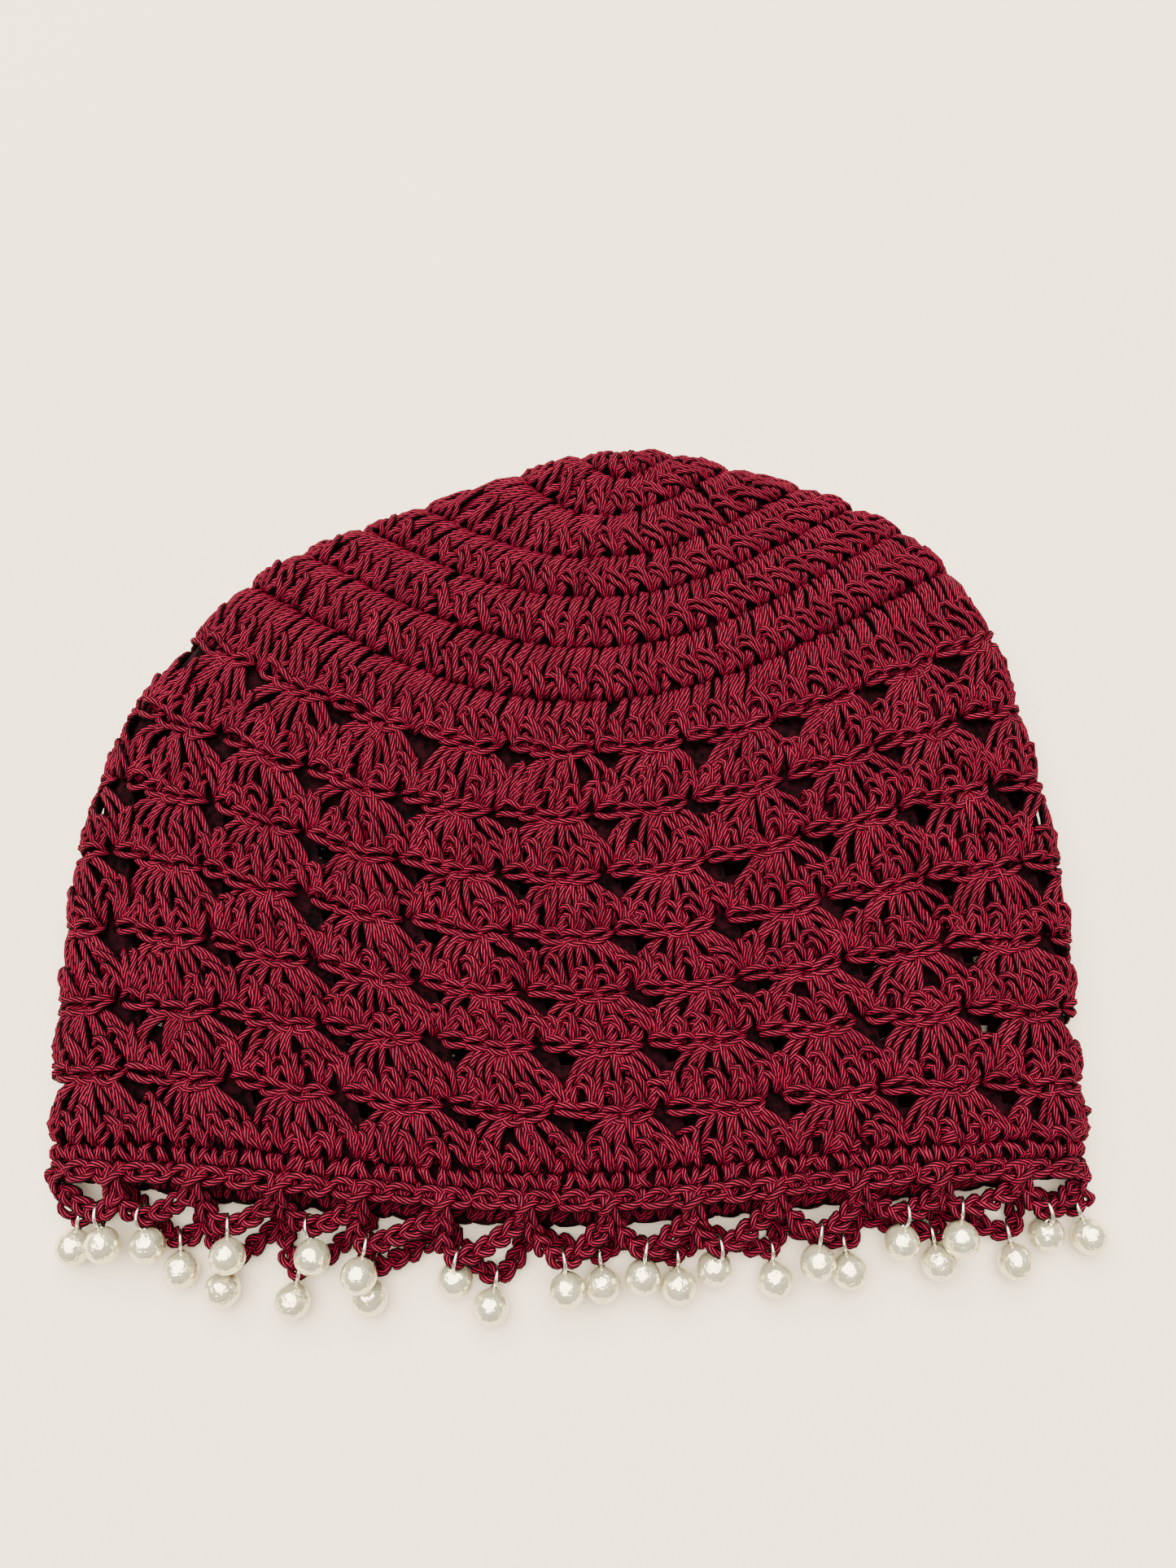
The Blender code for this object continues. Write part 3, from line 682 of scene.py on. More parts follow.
LOW_WRAPS = (
    ((-0.14, 0.66, -0.5), (0.06, 0.56, 0.50), (0.34, 0.56, 1.00),
     (0.60, 0.68, 0.95), (0.74, 0.84, 0.55), (0.80, 1.01, -0.60)),
    ((-0.06, 0.77, -0.5), (0.10, 0.69, 0.50), (0.30, 0.71, 0.85),
     (0.46, 0.82, 0.80), (0.54, 0.93, 0.45), (0.58, 1.03, -0.60)),
)
LOW_TIPS = (
    ((1.12, 0.60, -0.3), (0.94, 0.74, 1.05), (0.72, 1.00, -0.3)),
    ((1.16, 0.74, -0.3), (1.06, 0.87, 0.95), (0.92, 1.04, -0.3)),
)


def fan_out(template):
    """Twenty fans of five copies of a stitch. Each copy is nudged across and along its shell. A
    point at t of its stitch's height, and at u between -1 and 1 across the shell, then goes to
    x = u (gather (1 - t) + reach sin(t 90 degrees) (1 - pinch t^4)). In the middle of the shell
    its depth y is t. Towards the sides y turns to 1 - cos(t 90 degrees), by the share FAN_ROUND,
    and gets shorter by the share FAN_SHORT. The middle bulges by sin(t 180 degrees)."""
    template = np.asarray(template)
    nudge = rng.normal(size=(SHELLS, SHELL_STITCHES, 1, 1, 2)) * STITCH_NUDGE
    copies = np.arange(SHELL_STITCHES)[:, None, None]
    t, h = template[..., 1], template[..., 2]
    free = np.clip(4.0 * t * (1.0 - t), 0.0, 1.0)
    t = t + nudge[..., 1] * free
    u = 2.0 * (copies + template[..., 0] + nudge[..., 0] * free) / SHELL_STITCHES - 1.0
    turn = np.clip(t, 0.0, 1.0) * math.pi / 2.0
    aside = np.clip(np.abs(u), 0.0, 1.0) ** FAN_BEND
    x = u * (FAN_GATHER * (1.0 - t) + FAN_REACH * np.sin(turn) * (1.0 - FAN_PINCH * t**4))
    x = x + SHELL_DRIFT / 2.0 * t
    bent = FAN_ROUND * aside
    y = (1.0 - bent) * t + bent * (1.0 - np.cos(turn))
    y = y * (1.0 - FAN_SHORT * aside)
    h = h + FAN_BULGE * (1.0 - aside) * np.sin(2.0 * turn)
    fan = np.stack(np.broadcast_arrays(x, y, h), axis=-1)
    return fan.reshape(SHELLS, -1, *template.shape[1:])


print("strands in a shell:", SHELL_STITCHES * (len(LONG_POSTS) + len(LOW_WRAPS) + len(LOW_TIPS)))

# %% The chain between two shells
LINK_STEP = 0.20  # of a shell's width
LINK_UPPER = ((-0.02, 0.07, -0.2), (0.07, 0.00, 0.9), (0.18, -0.03, 1.0), (0.28, 0.02, -0.1))
LINK_LOWER = ((0.00, 0.12, -0.2), (0.09, 0.17, 0.7), (0.21, 0.14, 0.9), (0.31, 0.05, -0.1))
CHAIN_START = -0.60  # where the first link starts, from the gathering point
CHAIN_LINKS = 4
CHAIN_RISE = 0.13  # how much higher the chain lies half way between two gathering points

link_start = CHAIN_START + LINK_STEP * np.arange(CHAIN_LINKS)
link_shift = link_start[:, None, None] * np.array([1.0, 0.0, 0.0])
CHAIN_STRANDS = np.concatenate([np.array(side) + link_shift for side in (LINK_UPPER, LINK_LOWER)])
CHAIN_STRANDS[..., 1] -= CHAIN_RISE * np.clip(2.0 * np.abs(CHAIN_STRANDS[..., 0]), 0.0, 1.0)
print("strands in a chain:", len(CHAIN_STRANDS))

# %% All shells, one piece for each round
APEX_PLACE = 0.36  # from the middle of a gap to the gathering point, in shells

for number in range(SHELL_ROUNDS):
    shells = np.arange(SHELLS) + SHELL_PHASE + APEX_PLACE + SHELL_DRIFT * number
    where = (shells / SHELLS, np.full(SHELLS, float(CROWN_ROUNDS + number)), 1.0 / SHELLS, 1.0)
    shell_round = mesh_piece(f"shell_round_{number + 1}", [
        strands(place_stitches(fan_out(LONG_POSTS), *where), 8),
        strands(place_stitches(fan_out(LOW_WRAPS), *where), 8),
        strands(place_stitches(fan_out(LOW_TIPS), *where), 5),
        strands(place_stitches(CHAIN_STRANDS, *where), 7),
    ], cotton)
    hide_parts("shell_body")

# %% [markdown]
# ## The fabric behind the strands
#
# Under the strands that face outwards lies the rest of the yarn: the backs of the stitches. It is
# seen only as a dark ground between strands, and its darkness is painted shade. A thin closed
# sheet that follows the cap, a little deeper than the strands, stands for it. From the third round
# of shells on it is open where the fabric is, between two shells. Strands of its own would triple
# the mesh and hardly show.

# %% A sheet that follows the cap
GROUND_DEPTH = 0.0014  # from the outside of the fabric to the sheet
GROUND_THICKNESS = 0.0010
GAP_HEIGHT = 0.29
GAP_WIDTH = 0.25
FIRST_OPEN_ROUND = 2
SHEET_END = 0.98  # its last row, in rounds below the shells


def sheet_part(levels, shares, open_cells=None):
    """A closed wall under the surface: a grid of outer points and one of inner points, joined
    round every edge. shares is one row for each level, and open_cells marks the cells that are
    cut through."""
    rows, count = shares.shape
    level = np.broadcast_to(levels[:, None], shares.shape)
    outer_depth = np.full(shares.shape, -GROUND_DEPTH)
    outer = on_cap(np.stack([shares, level, outer_depth], axis=-1))[0]
    inner = on_cap(np.stack([shares, level, outer_depth - GROUND_THICKNESS], axis=-1))[0]
    points = np.concatenate([outer.reshape(-1, 3), inner.reshape(-1, 3)])
    solid = np.ones((rows - 1, count), bool) if open_cells is None else ~open_cells
    r, c = np.meshgrid(np.arange(rows), np.arange(count), indexing="ij")
    p, q, far = r * count + c, r * count + (c + 1) % count, rows * count
    a, b = p[:-1], q[:-1]
    face = np.stack([a, b, b + count, a + count], axis=-1)
    side = np.stack([b, b + count, b + count + far, b + far], axis=-1)
    rim = np.stack([p, q, q + far, p + far], axis=-1)
    beside = np.roll(solid, -1, axis=1)
    above = np.concatenate([np.zeros((1, count), bool), solid])
    below = np.concatenate([solid, np.zeros((1, count), bool)])
    quads = np.concatenate([
        face[solid][:, ::-1], face[solid] + far,
        side[solid & ~beside][:, ::-1], side[~solid & beside],
        rim[above & ~below][:, ::-1], rim[~above & below],
    ])
    flat = np.stack([shares, level * ROUND_HEIGHT], axis=-1).reshape(-1, 2)
    return plain_part(points, quads, NO_TRIS, np.concatenate([flat, flat]))


print("sheet, mm:", 1000 * GROUND_THICKNESS)

# %% The ground of crown, shells and hem
GROUND_COLUMNS = 120
TOP_ROWS = [0.12, 0.4, 0.7]  # levels of the sheet's first rows, where the rounds are smallest
BETWEEN_GAPS = [0.275, 0.425, 0.575, 0.725]  # columns from one gap to the next, in shells
BELOW_GAP = 0.64  # a row between a gap and the next round, in rounds

crown_rows = np.array(TOP_ROWS + [n / 2.0 for n in range(2, 2 * CROWN_ROUNDS + 1)])
all_round = np.arange(GROUND_COLUMNS) / GROUND_COLUMNS
in_shell = np.array([-GAP_WIDTH / 2.0, GAP_WIDTH / 2.0] + BETWEEN_GAPS)
columns = (np.arange(SHELLS)[:, None] + in_shell).ravel()
in_round = (0.0, GAP_HEIGHT, BELOW_GAP)
shell_rows = np.array([CROWN_ROUNDS + n + f for n in range(SHELL_ROUNDS) for f in in_round]
                      + [HEM_LEVEL, HEM_LEVEL + 0.5, HEM_LEVEL + SHEET_END])
drift = SHELL_DRIFT * np.minimum(shell_rows - CROWN_ROUNDS, SHELL_ROUNDS)
shell_shares = (columns[None] + SHELL_PHASE + drift[:, None]) / SHELLS
cell_row, cell_column = np.meshgrid(
    np.arange(len(shell_rows) - 1), np.arange(len(columns)), indexing="ij")
cell_round = cell_row // len(in_round)
open_cells = (cell_row % len(in_round) == 0) & (cell_column % len(in_shell) == 0)
open_cells &= (cell_round >= FIRST_OPEN_ROUND) & (cell_round < SHELL_ROUNDS)
mesh_piece("inner_fabric", [
    sheet_part(crown_rows, np.tile(all_round, (len(crown_rows), 1))),
    sheet_part(shell_rows, shell_shares, open_cells),
], shadow)
print("openings in the ground:", int(open_cells.sum()))

# %% [markdown]
# ## The hem
#
# A round of single crochet draws the hem in. Its short strokes slant both ways. Below it lies a
# darker row, half covered by a round of long chain links that runs along the hem's lower edge.

# %% The hem's stitches
HEM_STITCHES = 100
SHORT_STRANDS = (
    ((0.02, 0.05, -0.5), (0.20, 0.45, 0.55), (0.44, 0.96, -0.5)),
    ((0.38, 0.00, -0.5), (0.55, 0.50, 0.60), (0.72, 1.00, -0.5)),
    ((1.06, 0.05, -0.5), (0.92, 0.45, 0.45), (0.78, 0.95, -0.6)),
)
HEM_ROUNDS = ((0.00, 0.50, 0.0), (0.46, 0.46, -0.4))  # top, height and rise of each round
INSIDE = -1.55  # yarn thicknesses from the outside of the fabric to its middle
BAR_STRANDS = (
    ((-0.05, 0.12, -0.3), (0.35, -0.13, 0.55), (0.85, -0.17, 0.70), (1.25, 0.05, -0.2)),
    ((0.02, 0.18, -0.3), (0.45, 0.24, 0.40), (0.95, 0.17, 0.60), (1.30, -0.03, -0.2)),
)
BARS = 78
BAR_PLACE = 0.72
HEM_LOOSE = 1.8

hem_parts = []
for top, height, rise in HEM_ROUNDS:
    shares = (np.arange(HEM_STITCHES) + rng.uniform(0.0, 1.0)) / HEM_STITCHES
    where = (shares, np.full(HEM_STITCHES, HEM_LEVEL + top), 1.0 / HEM_STITCHES, height)
    outside = np.array(SHORT_STRANDS)
    outside[..., 2] += rise
    inside = np.array(SHORT_STRANDS)
    inside[..., 2] = INSIDE - inside[..., 2]
    hem_parts.append(strands(place_stitches(outside, *where, loose=HEM_LOOSE), 6))
    hem_parts.append(strands(place_stitches(inside, *where), 5, facing=-1.0))
where = (np.arange(BARS) / BARS, np.full(BARS, HEM_LEVEL + BAR_PLACE), 1.0 / BARS, 1.0)
hem_parts.append(strands(place_stitches(BAR_STRANDS, *where), 8))
hem_stitches = mesh_piece("hem_stitches", hem_parts, cotton)
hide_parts("hem_band")

# %% [markdown]
# ## The chain loops
#
# A zigzag of crochet chain hangs from the hem, one loop for each pearl. A chain is a row of
# links: each link is a loop whose two sides spread and close again, and the next link comes out
# of its middle. Seen flat it is a braid of V shapes. The CAD model lays the chain's middle line
# with a table of loops, which is repeated here, and the links are carried along that line.

# %% The chain's middle line
LOOPS = 26
LOOP_DROP = 0.0095
CHAIN_THICKNESS = 0.0022
CHAIN_CLEARANCE = 0.0003
HEM_FABRIC = 0.0026
UPPER_TIP_HEIGHT = 0.0086
LOWER_TIP_HEIGHT = 0.0031
TIP_SHARPNESS = 1.7
ARM_STEPS = 6
NORMAL_STEP = 0.001  # in shares and levels

# A row for each loop from the left fold: how far its tip leans, as a share of the pitch, its drop
# as a share of LOOP_DROP, the way its pearl lies and the twist of its eye, both in degrees.
LOOP_TABLE = np.array((
    (0.17, 0.60, 8.0, 12.0),
    (-0.18, 0.60, 8.0, -12.0),
    (-0.14, 0.70, 8.0, 12.0),
    (-0.14, 0.55, 8.0, -12.0),
    (-0.46, 0.80, -6.0, 12.0),
    (-0.34, 0.98, -8.0, -10.0),
    (-0.06, 0.96, 8.0, 10.0),
    (-0.05, 0.81, -8.0, -12.0),
    (-0.18, 0.91, -8.0, 10.0),
    (0.07, 0.76, -8.0, -12.0),
    (0.10, 0.50, -6.0, 8.0),
    (-0.20, 0.50, -8.0, -12.0),
    (-0.03, 0.60, 8.0, -8.0),
    (0.45, 0.45, 14.0, -6.0),
    (0.43, 0.80, 8.0, -12.0),
    (0.48, 0.60, 10.0, -6.0),
    (0.40, 0.60, 6.0, -12.0),
    (0.47, 0.60, 8.0, 12.0),
    (0.31, 0.60, 6.0, 12.0),
    (0.40, 0.50, 4.0, -6.0),
    (0.12, 1.01, -8.0, 8.0),
    (-0.35, 0.94, -8.0, -12.0),
    (-0.29, 1.19, -8.0, 12.0),
    (-0.15, 1.10, -8.0, -12.0),
    (0.22, 0.90, 8.0, 12.0),
    (-0.15, 0.60, -8.0, -12.0),
))
lean, drop, swing, twist = LOOP_TABLE.T


def surface_at(shares, level):
    """Exact points of the surface at one level, and its outward normals from small steps."""
    def points(at, lv):
        line = round_line(lv)
        way = way_along(line)
        return points_at(np.mod(at, 1.0) * way[-1], line, way)
    across = np.cross(points(shares, level + NORMAL_STEP) - points(shares, level - NORMAL_STEP),
                      points(shares + NORMAL_STEP, level) - points(shares - NORMAL_STEP, level))
    across = unit(across)
    across[:, 1] *= 1.0 - smooth_step(level - HEM_LEVEL + 1.0)
    return points(shares, level), unit(across)


foot_shares = np.arange(LOOPS) / LOOPS
feet, foot_normals = surface_at(foot_shares, HEM_LEVEL + 1.0)
feet = feet - foot_normals * HEM_FABRIC / 2.0
feet[:, 1] -= CHAIN_THICKNESS / 2.0 + CHAIN_CLEARANCE
feet[:, 2] = np.maximum(feet[:, 2], CHAIN_THICKNESS / 2.0)
next_feet = np.roll(feet, -1, axis=0)
loop_pitch = round_lengths[-1] / LOOPS
tip_height = np.clip((feet + next_feet)[:, 2] / 2.0, LOWER_TIP_HEIGHT, UPPER_TIP_HEIGHT)
loop_way = np.stack([lean * loop_pitch, -drop * LOOP_DROP,
                     tip_height - (feet + next_feet)[:, 2] / 2.0], axis=1)


def chain_at(loop, t):
    """The chain's middle line: along the chord between two feet, and out towards the tip by one
    minus a power of the distance from the loop's middle."""
    depth = 1.0 - np.abs(2.0 * t - 1.0) ** TIP_SHARPNESS
    t, depth = t[:, None], depth[:, None]
    return feet[loop] + (next_feet[loop] - feet[loop]) * t + loop_way[loop] * depth


print("loop pitch, mm:", round(1000 * loop_pitch, 2))

# %% Links along the chain
LINK_LENGTH = 0.0038
LINK_SPREAD = 0.00160  # from the middle line to the middle of a link's side
LINK_UNEVEN = 0.00015
CHAIN_STEPS = 48  # points of the middle line in one loop
LOOK = 0.0004  # how far along the chain its direction is taken
LINK_SIDE = (  # along, aside and height, in link lengths, spreads and yarn radii
    (0.00, -0.30, -0.60),
    (0.25, 0.10, 0.35),
    (0.55, 0.65, 0.75),
    (0.90, 1.00, 0.30),
    (1.20, 0.80, -0.90),
)
LINK_BACK = (
    (0.00, 0.00, -0.90),
    (0.50, 0.05, -1.10),
    (1.05, 0.00, -0.90),
)

chain_loop = np.repeat(np.arange(LOOPS), CHAIN_STEPS)
chain_points = chain_at(chain_loop, np.tile(np.arange(CHAIN_STEPS) / CHAIN_STEPS, LOOPS))
chain_points = np.concatenate([chain_points, chain_points[:1]])
chain_way = way_along(chain_points)
chain_length = chain_way[-1]
links = int(round(chain_length / LINK_LENGTH))
link_length = chain_length / links


def chain_frame(distance):
    """Points on the chain's middle line at distances along it, with the direction of the line,
    taken over a short look ahead and back, and the sideways direction, level with the table."""
    def point(at):
        return points_at(np.mod(at, chain_length), chain_points, chain_way)
    ahead = unit(point(distance + LOOK) - point(distance - LOOK))
    aside = unit(np.cross(ahead, np.array([0.0, 0.0, 1.0])))
    return point(distance), ahead, aside


def free_tubes(control, rings):
    """Tubes through control points in space, kept above the table."""
    lines = smooth_points(control, rings)
    lines[..., 2] = np.maximum(lines[..., 2], YARN_RADIUS)
    return tubes(lines, np.broadcast_to(np.array([0.0, 0.0, 1.0]), lines.shape), YARN_RADIUS)


def link_tubes(template, side_sign, rings):
    """One strand of every link: its control points are set out from the chain's frame."""
    template = np.array(template)
    start = np.arange(links)[:, None] * link_length
    middle, ahead, aside = chain_frame(start + template[:, 0] * link_length)
    up = np.cross(aside, ahead)
    control = (middle + aside * (side_sign * template[:, 1] * LINK_SPREAD)[None, :, None]
               + up * (template[:, 2] * YARN_RADIUS)[None, :, None])
    return free_tubes(control + rng.normal(size=control.shape) * LINK_UNEVEN, rings)


print("links:", links, "chain, mm:", round(1000 * chain_length))

# %% [markdown]
# Where two loops meet, a single crochet ties them over the hem's lower edge. It shows as a knot:
# two strands that pinch in the middle, one between them and one slantwise over all three.

# %% Knots at the feet of the loops
KNOT_STRANDS = 0.001 * np.array((  # along the hem, up it and off it, in millimetres
    ((-2.1, 5.2, 0.8), (-1.1, 2.9, 2.3), (-1.1, 0.8, 2.1), (-2.3, -1.8, 0.3)),
    ((2.1, 5.2, 0.8), (1.1, 2.9, 2.3), (1.1, 0.8, 2.1), (2.3, -1.8, 0.3)),
    ((0.1, 5.0, 0.6), (0.0, 3.1, 1.8), (-0.1, 1.2, 1.7), (0.1, -1.4, 0.0)),
    ((-2.4, 0.4, 0.9), (-0.9, 1.2, 3.1), (1.0, 2.6, 3.2), (2.5, 3.5, 1.2)),
))
FACES_DOWN = -0.2  # where a normal points down by more, the knot lies on the fabric's upper side
off_hem = np.where(foot_normals[:, 2:] >= FACES_DOWN, foot_normals, -foot_normals)
hem_run = unit(next_feet - np.roll(feet, 1, axis=0))
hem_run = unit(hem_run - np.sum(hem_run * off_hem, axis=1, keepdims=True) * off_hem)
up_hem = np.cross(off_hem, hem_run)
up_hem = up_hem * np.sign(up_hem[:, 1:2])
foot_ways = np.stack([hem_run, up_hem, off_hem], axis=1)
knot = feet[:, None, None] + KNOT_STRANDS @ foot_ways[:, None]
knot = (knot + rng.normal(size=knot.shape) * LINK_UNEVEN).reshape(-1, *KNOT_STRANDS.shape[1:])

loop_chain = mesh_piece("loop_chain", [
    link_tubes(LINK_SIDE, 1.0, 8),
    link_tubes(LINK_SIDE, -1.0, 8),
    link_tubes(LINK_BACK, 1.0, 5),
    free_tubes(knot, 8),
], cotton)
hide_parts("loop_edging")

# %% [markdown]
# ## The pearl drops
#
# Each drop is an 8 mm imitation pearl on a short head pin whose end is bent into an eye. The
# eye goes round the chain at the tip of its loop. The places follow from the same rules as in
# the CAD source: the eye hangs on the tip, and the pearl lies on the table, or on the drop or the
# chain that is already there.

# %% Where the drops lie
PEARL_RADIUS = 0.0040
EYE_RADIUS = 0.0025
WIRE_RADIUS = 0.0004
EYE_SINK = 0.0005
EYE_SLACK = 0.0008
REST_GAP = 0.0004
REST_STEP = 0.0001
EYE_REACH = PEARL_RADIUS + EYE_RADIUS + WIRE_RADIUS - EYE_SINK
HANG_REACH = EYE_REACH + EYE_RADIUS - WIRE_RADIUS - CHAIN_THICKNESS / 2.0 - EYE_SLACK

before, tips, after = (chain_at(np.arange(LOOPS), np.full(LOOPS, 0.5 + step / ARM_STEPS))
                       for step in (-1.0, 0.0, 1.0))
tip_run = unit(after - before)
swing_turn = np.radians(swing)
swing_way = np.stack([np.sin(swing_turn), -np.cos(swing_turn), np.zeros(LOOPS)], axis=1)
coarse = np.arange(ARM_STEPS) / ARM_STEPS


def resting_place(loop, balls):
    """The lowest place for a pearl on its eye's reach from the tip that clears the table and the
    balls already there, each a centre and a radius."""
    centres = np.array([ball[0] for ball in balls]).reshape(-1, 3)
    reaches = np.array([ball[1] for ball in balls]) + PEARL_RADIUS + REST_GAP
    height = PEARL_RADIUS
    while True:
        along_table = math.sqrt(max(HANG_REACH**2 - (tips[loop][2] - height) ** 2, 0.0))
        pearl = tips[loop] + swing_way[loop] * along_table
        pearl[2] = height
        if not len(balls) or np.all(np.linalg.norm(centres - pearl, axis=1) >= reaches):
            return pearl
        height += REST_STEP


balls, pearls, pin_ways = [], {}, {}
lower_loops = list(range(LOOPS // 2, LOOPS))
for loop in lower_loops + list(range(LOOPS // 2)):
    if loop == 0:
        for under in lower_loops:
            chain_part = chain_at(np.full(ARM_STEPS, under), coarse)
            balls += [(point, CHAIN_THICKNESS / 2.0) for point in chain_part]
    pearls[loop] = resting_place(loop, balls)
    pin_ways[loop] = unit(tips[loop] - pearls[loop])
    balls.append((pearls[loop], PEARL_RADIUS))
    balls.append((pearls[loop] + pin_ways[loop] * EYE_REACH, EYE_RADIUS + WIRE_RADIUS))
lowest = np.array([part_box(f"pearl_drop_{loop + 1:02d}")[0][2] for loop in range(LOOPS)])
off = lowest - np.array([pearls[loop][2] - PEARL_RADIUS for loop in range(LOOPS)])
print("pearls off their CAD nodes by at most, mm:", round(1000 * np.abs(off).max(), 2))

# %% [markdown]
# An imitation pearl is a plastic bead that was dipped in lacquer full of pearly flakes. The
# flakes shine much like a metal, so the window shows in it as one bright patch, and the dipping
# left a fine ripple that crumples the patch's edge. The lacquer swallows a little red and blue,
# the more the longer the light runs in it, so the rim looks greener than the middle. A tinted
# coat on the shader does the same. The pin is plain silvered wire.

# %% Pearl lacquer and silvered wire
RIPPLE = 0.0019  # from one swelling of the lacquer to the next, in metres
RIPPLE_RELIEF = 0.0006
RIPPLE_STRENGTH = 0.8
WIRE_MARK = 0.0011  # size of a duller place, coarser than real ones so that it shows


def pearl_lacquer():
    """Ivory flakes with a fine ripple, under a smooth and slightly tinted coat."""
    finish, tree, shader = new_finish("pearl_lacquer_ivory")
    shimmer = patches(tree, RIPPLE)
    spread = stretched(tree, shimmer, 0.35, 0.65)
    feed(tree, shader, {
        "Base Color": two_tones(tree, spread, "#f0ebd6", "#fdfaec"),
        "Roughness": stretched(tree, shimmer, 0.0, 1.0, 0.06, 0.14),
        "Metallic": 0.68, "IOR": 1.53,
        "Normal": bumped(tree, shimmer, RIPPLE_RELIEF, RIPPLE_STRENGTH),
        "Coat Weight": 1.0, "Coat Roughness": 0.05, "Coat Tint": from_hex("#ecead6"),
    })
    return finish


def silvered_wire():
    """Bright drawn wire, a little duller in some places than in others."""
    finish, tree, shader = new_finish("silvered_wire")
    feed(tree, shader, {
        "Base Color": from_hex("#d9d5cd"), "Metallic": 1.0,
        "Roughness": stretched(tree, patches(tree, WIRE_MARK), 0.0, 1.0, 0.16, 0.30),
    })
    return finish


pearl_finish, wire_finish = pearl_lacquer(), silvered_wire()
print("finishes:", pearl_finish.name, wire_finish.name)


# %% Pearls and eyes as turned and bent shapes
NEAR_AXIS = 0.8  # an axis that goes further along X takes its side from Y


def turned(profile, sides, axis_way, centre):
    """A closed shape turned about an axis: profile rows are (distance from the axis, height), its
    first and last rows on the axis. The ring at height z is centre + z * axis + r * (cos, sin)."""
    other = np.eye(3)[0 if abs(axis_way[0]) < NEAR_AXIS else 1]
    side = unit(np.cross(axis_way, other))
    front = np.cross(axis_way, side)
    a = np.arange(sides) * 2.0 * math.pi / sides
    ring = side * np.cos(a)[:, None] + front * np.sin(a)[:, None]
    r, z = profile[1:-1, 0], profile[1:-1, 1]
    body = centre + axis_way * z[:, None, None] + ring[None] * r[:, None, None]
    poles = centre + axis_way * profile[[0, -1], 1][:, None]
    points = np.concatenate([body.reshape(-1, 3), poles])
    quads = ring_quads(len(r), sides)[:, [0, 3, 2, 1]]
    return plain_part(points, quads, ring_caps(len(r), sides)[:, [0, 2, 1]], points[:, :2])


def bent_ring(centre, first, second, radius, wire, around=28, sides=8):
    """A torus: the middle circle is centre + radius * (cos a * first + sin a * second), and the
    wire's own circle lies in the plane of that spoke and the ring's axis."""
    a = np.arange(around) * 2.0 * math.pi / around
    b = np.arange(sides) * 2.0 * math.pi / sides
    spoke = first * np.cos(a)[:, None] + second * np.sin(a)[:, None]
    axis = np.cross(first, second)
    across = spoke[:, None] * np.cos(b)[:, None] + axis * np.sin(b)[:, None]
    points = (centre + spoke[:, None] * radius + across * wire).reshape(-1, 3)
    return plain_part(points, ring_quads(around, sides, closed=True), NO_TRIS, points[:, :2])


# %% All 26 drops
PEARL_SIDES = 32
PEARL_ROWS = 21  # from pole to pole
STEM_SIDES = 12
angle = np.linspace(-math.pi / 2.0, math.pi / 2.0, PEARL_ROWS)
PEARL_PROFILE = np.stack([PEARL_RADIUS * np.cos(angle), PEARL_RADIUS * np.sin(angle)], axis=1)
STEM_PROFILE = np.array((
    (0.0, PEARL_RADIUS - 0.0006),
    (0.00095, PEARL_RADIUS - 0.0004),
    (0.00095, PEARL_RADIUS + 0.00005),
    (0.00055, PEARL_RADIUS + 0.00025),
    (0.00045, PEARL_RADIUS + 0.0007),
    (0.0, PEARL_RADIUS + 0.0008),
))

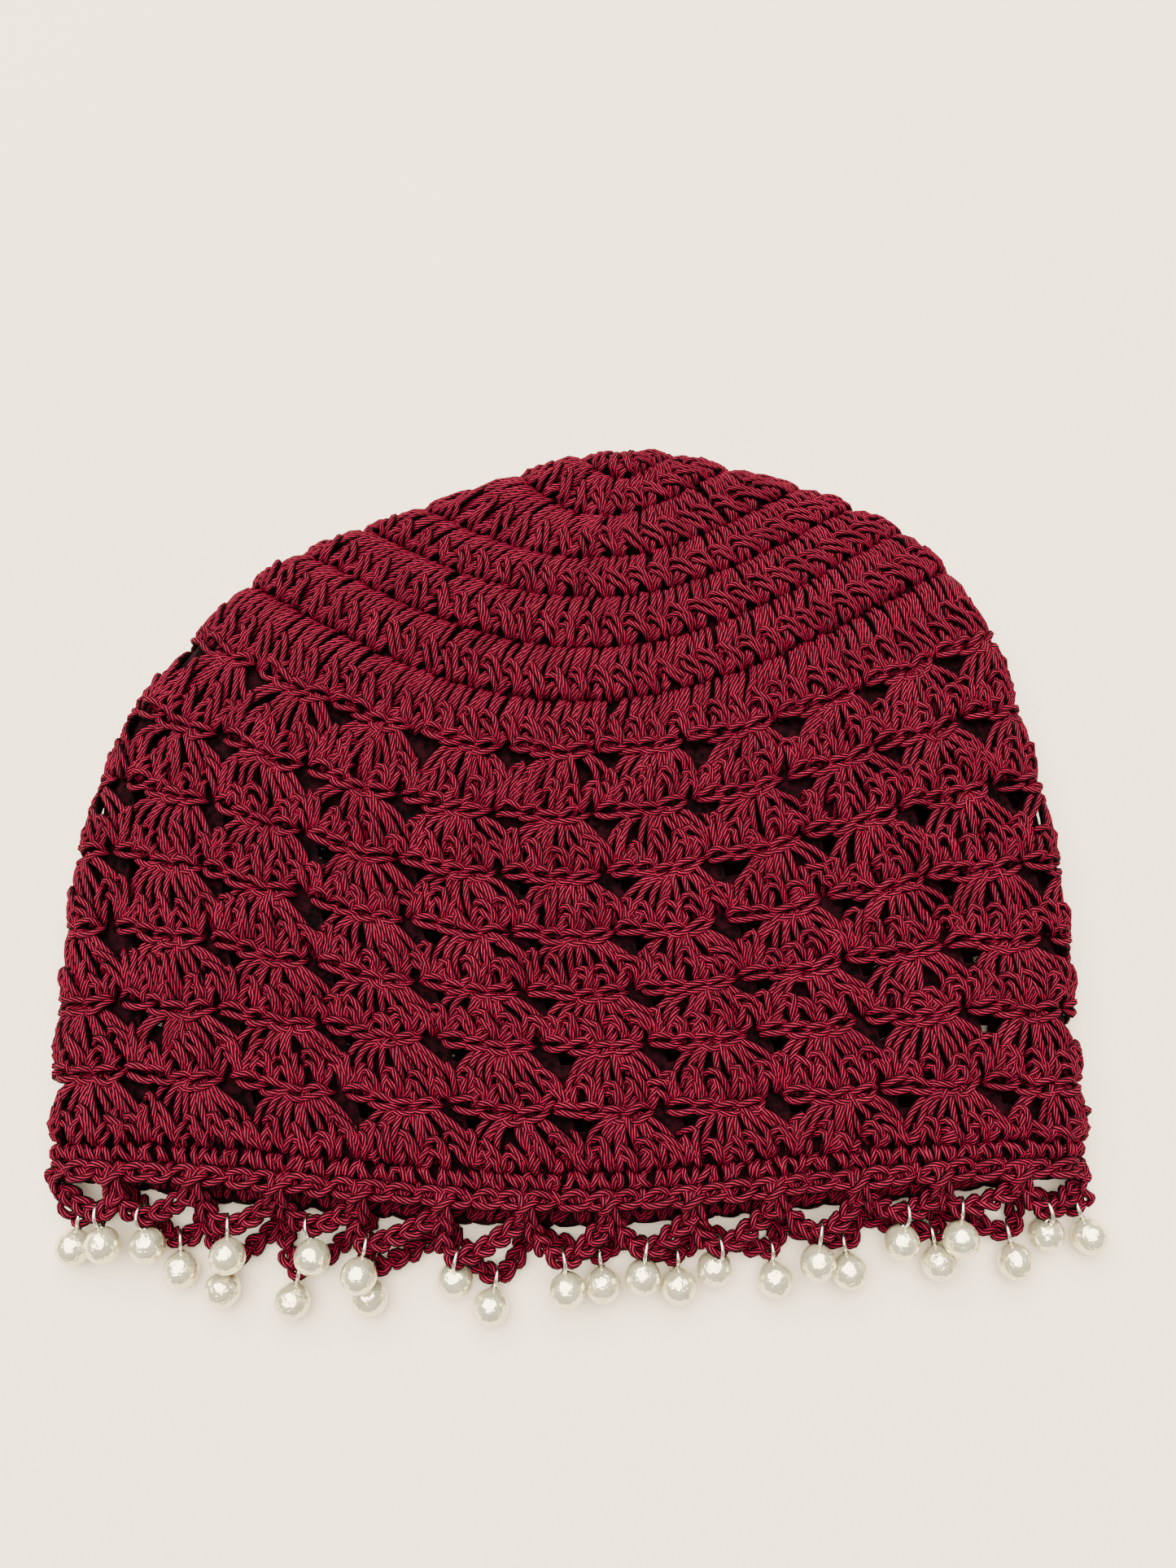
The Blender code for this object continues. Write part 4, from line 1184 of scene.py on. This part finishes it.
for loop in range(LOOPS):
    way, place = pin_ways[loop], pearls[loop]
    turn = math.radians(twist[loop])
    across = unit(tip_run[loop] - tip_run[loop] @ way * way)
    across = across * math.cos(turn) + np.cross(way, across) * math.sin(turn)
    spoke = np.cross(across, way)
    pearl = mesh_piece(f"pearl_{loop + 1:02d}", [turned(PEARL_PROFILE, PEARL_SIDES, way, place)],
                       pearl_finish)
    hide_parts(f"pearl_drop_{loop + 1:02d}")
    mesh_piece(f"pin_eye_{loop + 1:02d}", [
        bent_ring(place + way * EYE_REACH, spoke, way, EYE_RADIUS, WIRE_RADIUS),
        turned(STEM_PROFILE, STEM_SIDES, way, place),
    ], wire_finish)

# %% [markdown]
# ## Floor, light and the end
#
# The floor is a plain pale sheet. The light is that of a large window above and to the left. An
# area light would do, but it fades with distance and would leave the far floor dark, so a sun
# lamp as wide as the window looks from the cap takes its place. An even pale surround keeps the
# shadows from going black.

# %% Floor
MOTTLE = 0.17  # from one faint patch to the next, in metres


def pale_floor():
    """Matt off-white with a hardly visible mottle."""
    finish, tree, shader = new_finish("pale_floor")
    mottle = patches(tree, MOTTLE, detail=3.0)
    feed(tree, shader, {
        "Base Color": two_tones(tree, mottle, "#efe2cd", "#eadcc6"), "Roughness": 0.7,
    })
    return finish


FLOOR_HALF = 4.0
FLOOR_SIGNS = ((-1, -1), (1, -1), (1, 1), (-1, 1))
corners = [(x * FLOOR_HALF, y * FLOOR_HALF, 0.0) for x, y in FLOOR_SIGNS]
floor_mesh = bpy.data.meshes.new("floor")
floor_mesh.from_pydata(corners, [], [(0, 1, 2, 3)])
floor_mesh.materials.append(pale_floor())
floor = add_object("floor", floor_mesh)
print("floor, m:", 2 * FLOOR_HALF)


# %% Light
WINDOW_WAY = (-0.12, 0.28, 0.80)  # from the cap towards the window
WINDOW_ANGLE = 80.0  # degrees, as wide as the window looks from the cap
WINDOW_LIGHT = 14.6  # watts on a square metre that faces it

window_data = bpy.data.lights.new("window", "SUN")
window_data.angle = math.radians(WINDOW_ANGLE)
window_data.energy = WINDOW_LIGHT
window_data.color = from_hex("#fff6ea")[:3]
window = add_object("window", window_data)
window.rotation_euler = (-Vector(WINDOW_WAY)).to_track_quat("-Z", "Y").to_euler()
world = bpy.data.worlds.new("surround")
world.use_nodes = True
world.node_tree.nodes["Background"].inputs["Color"].default_value = from_hex("#efeeec")
world.node_tree.nodes["Background"].inputs["Strength"].default_value = 0.55
bpy.context.scene.world = world
print("lights:", len(bpy.data.lights))
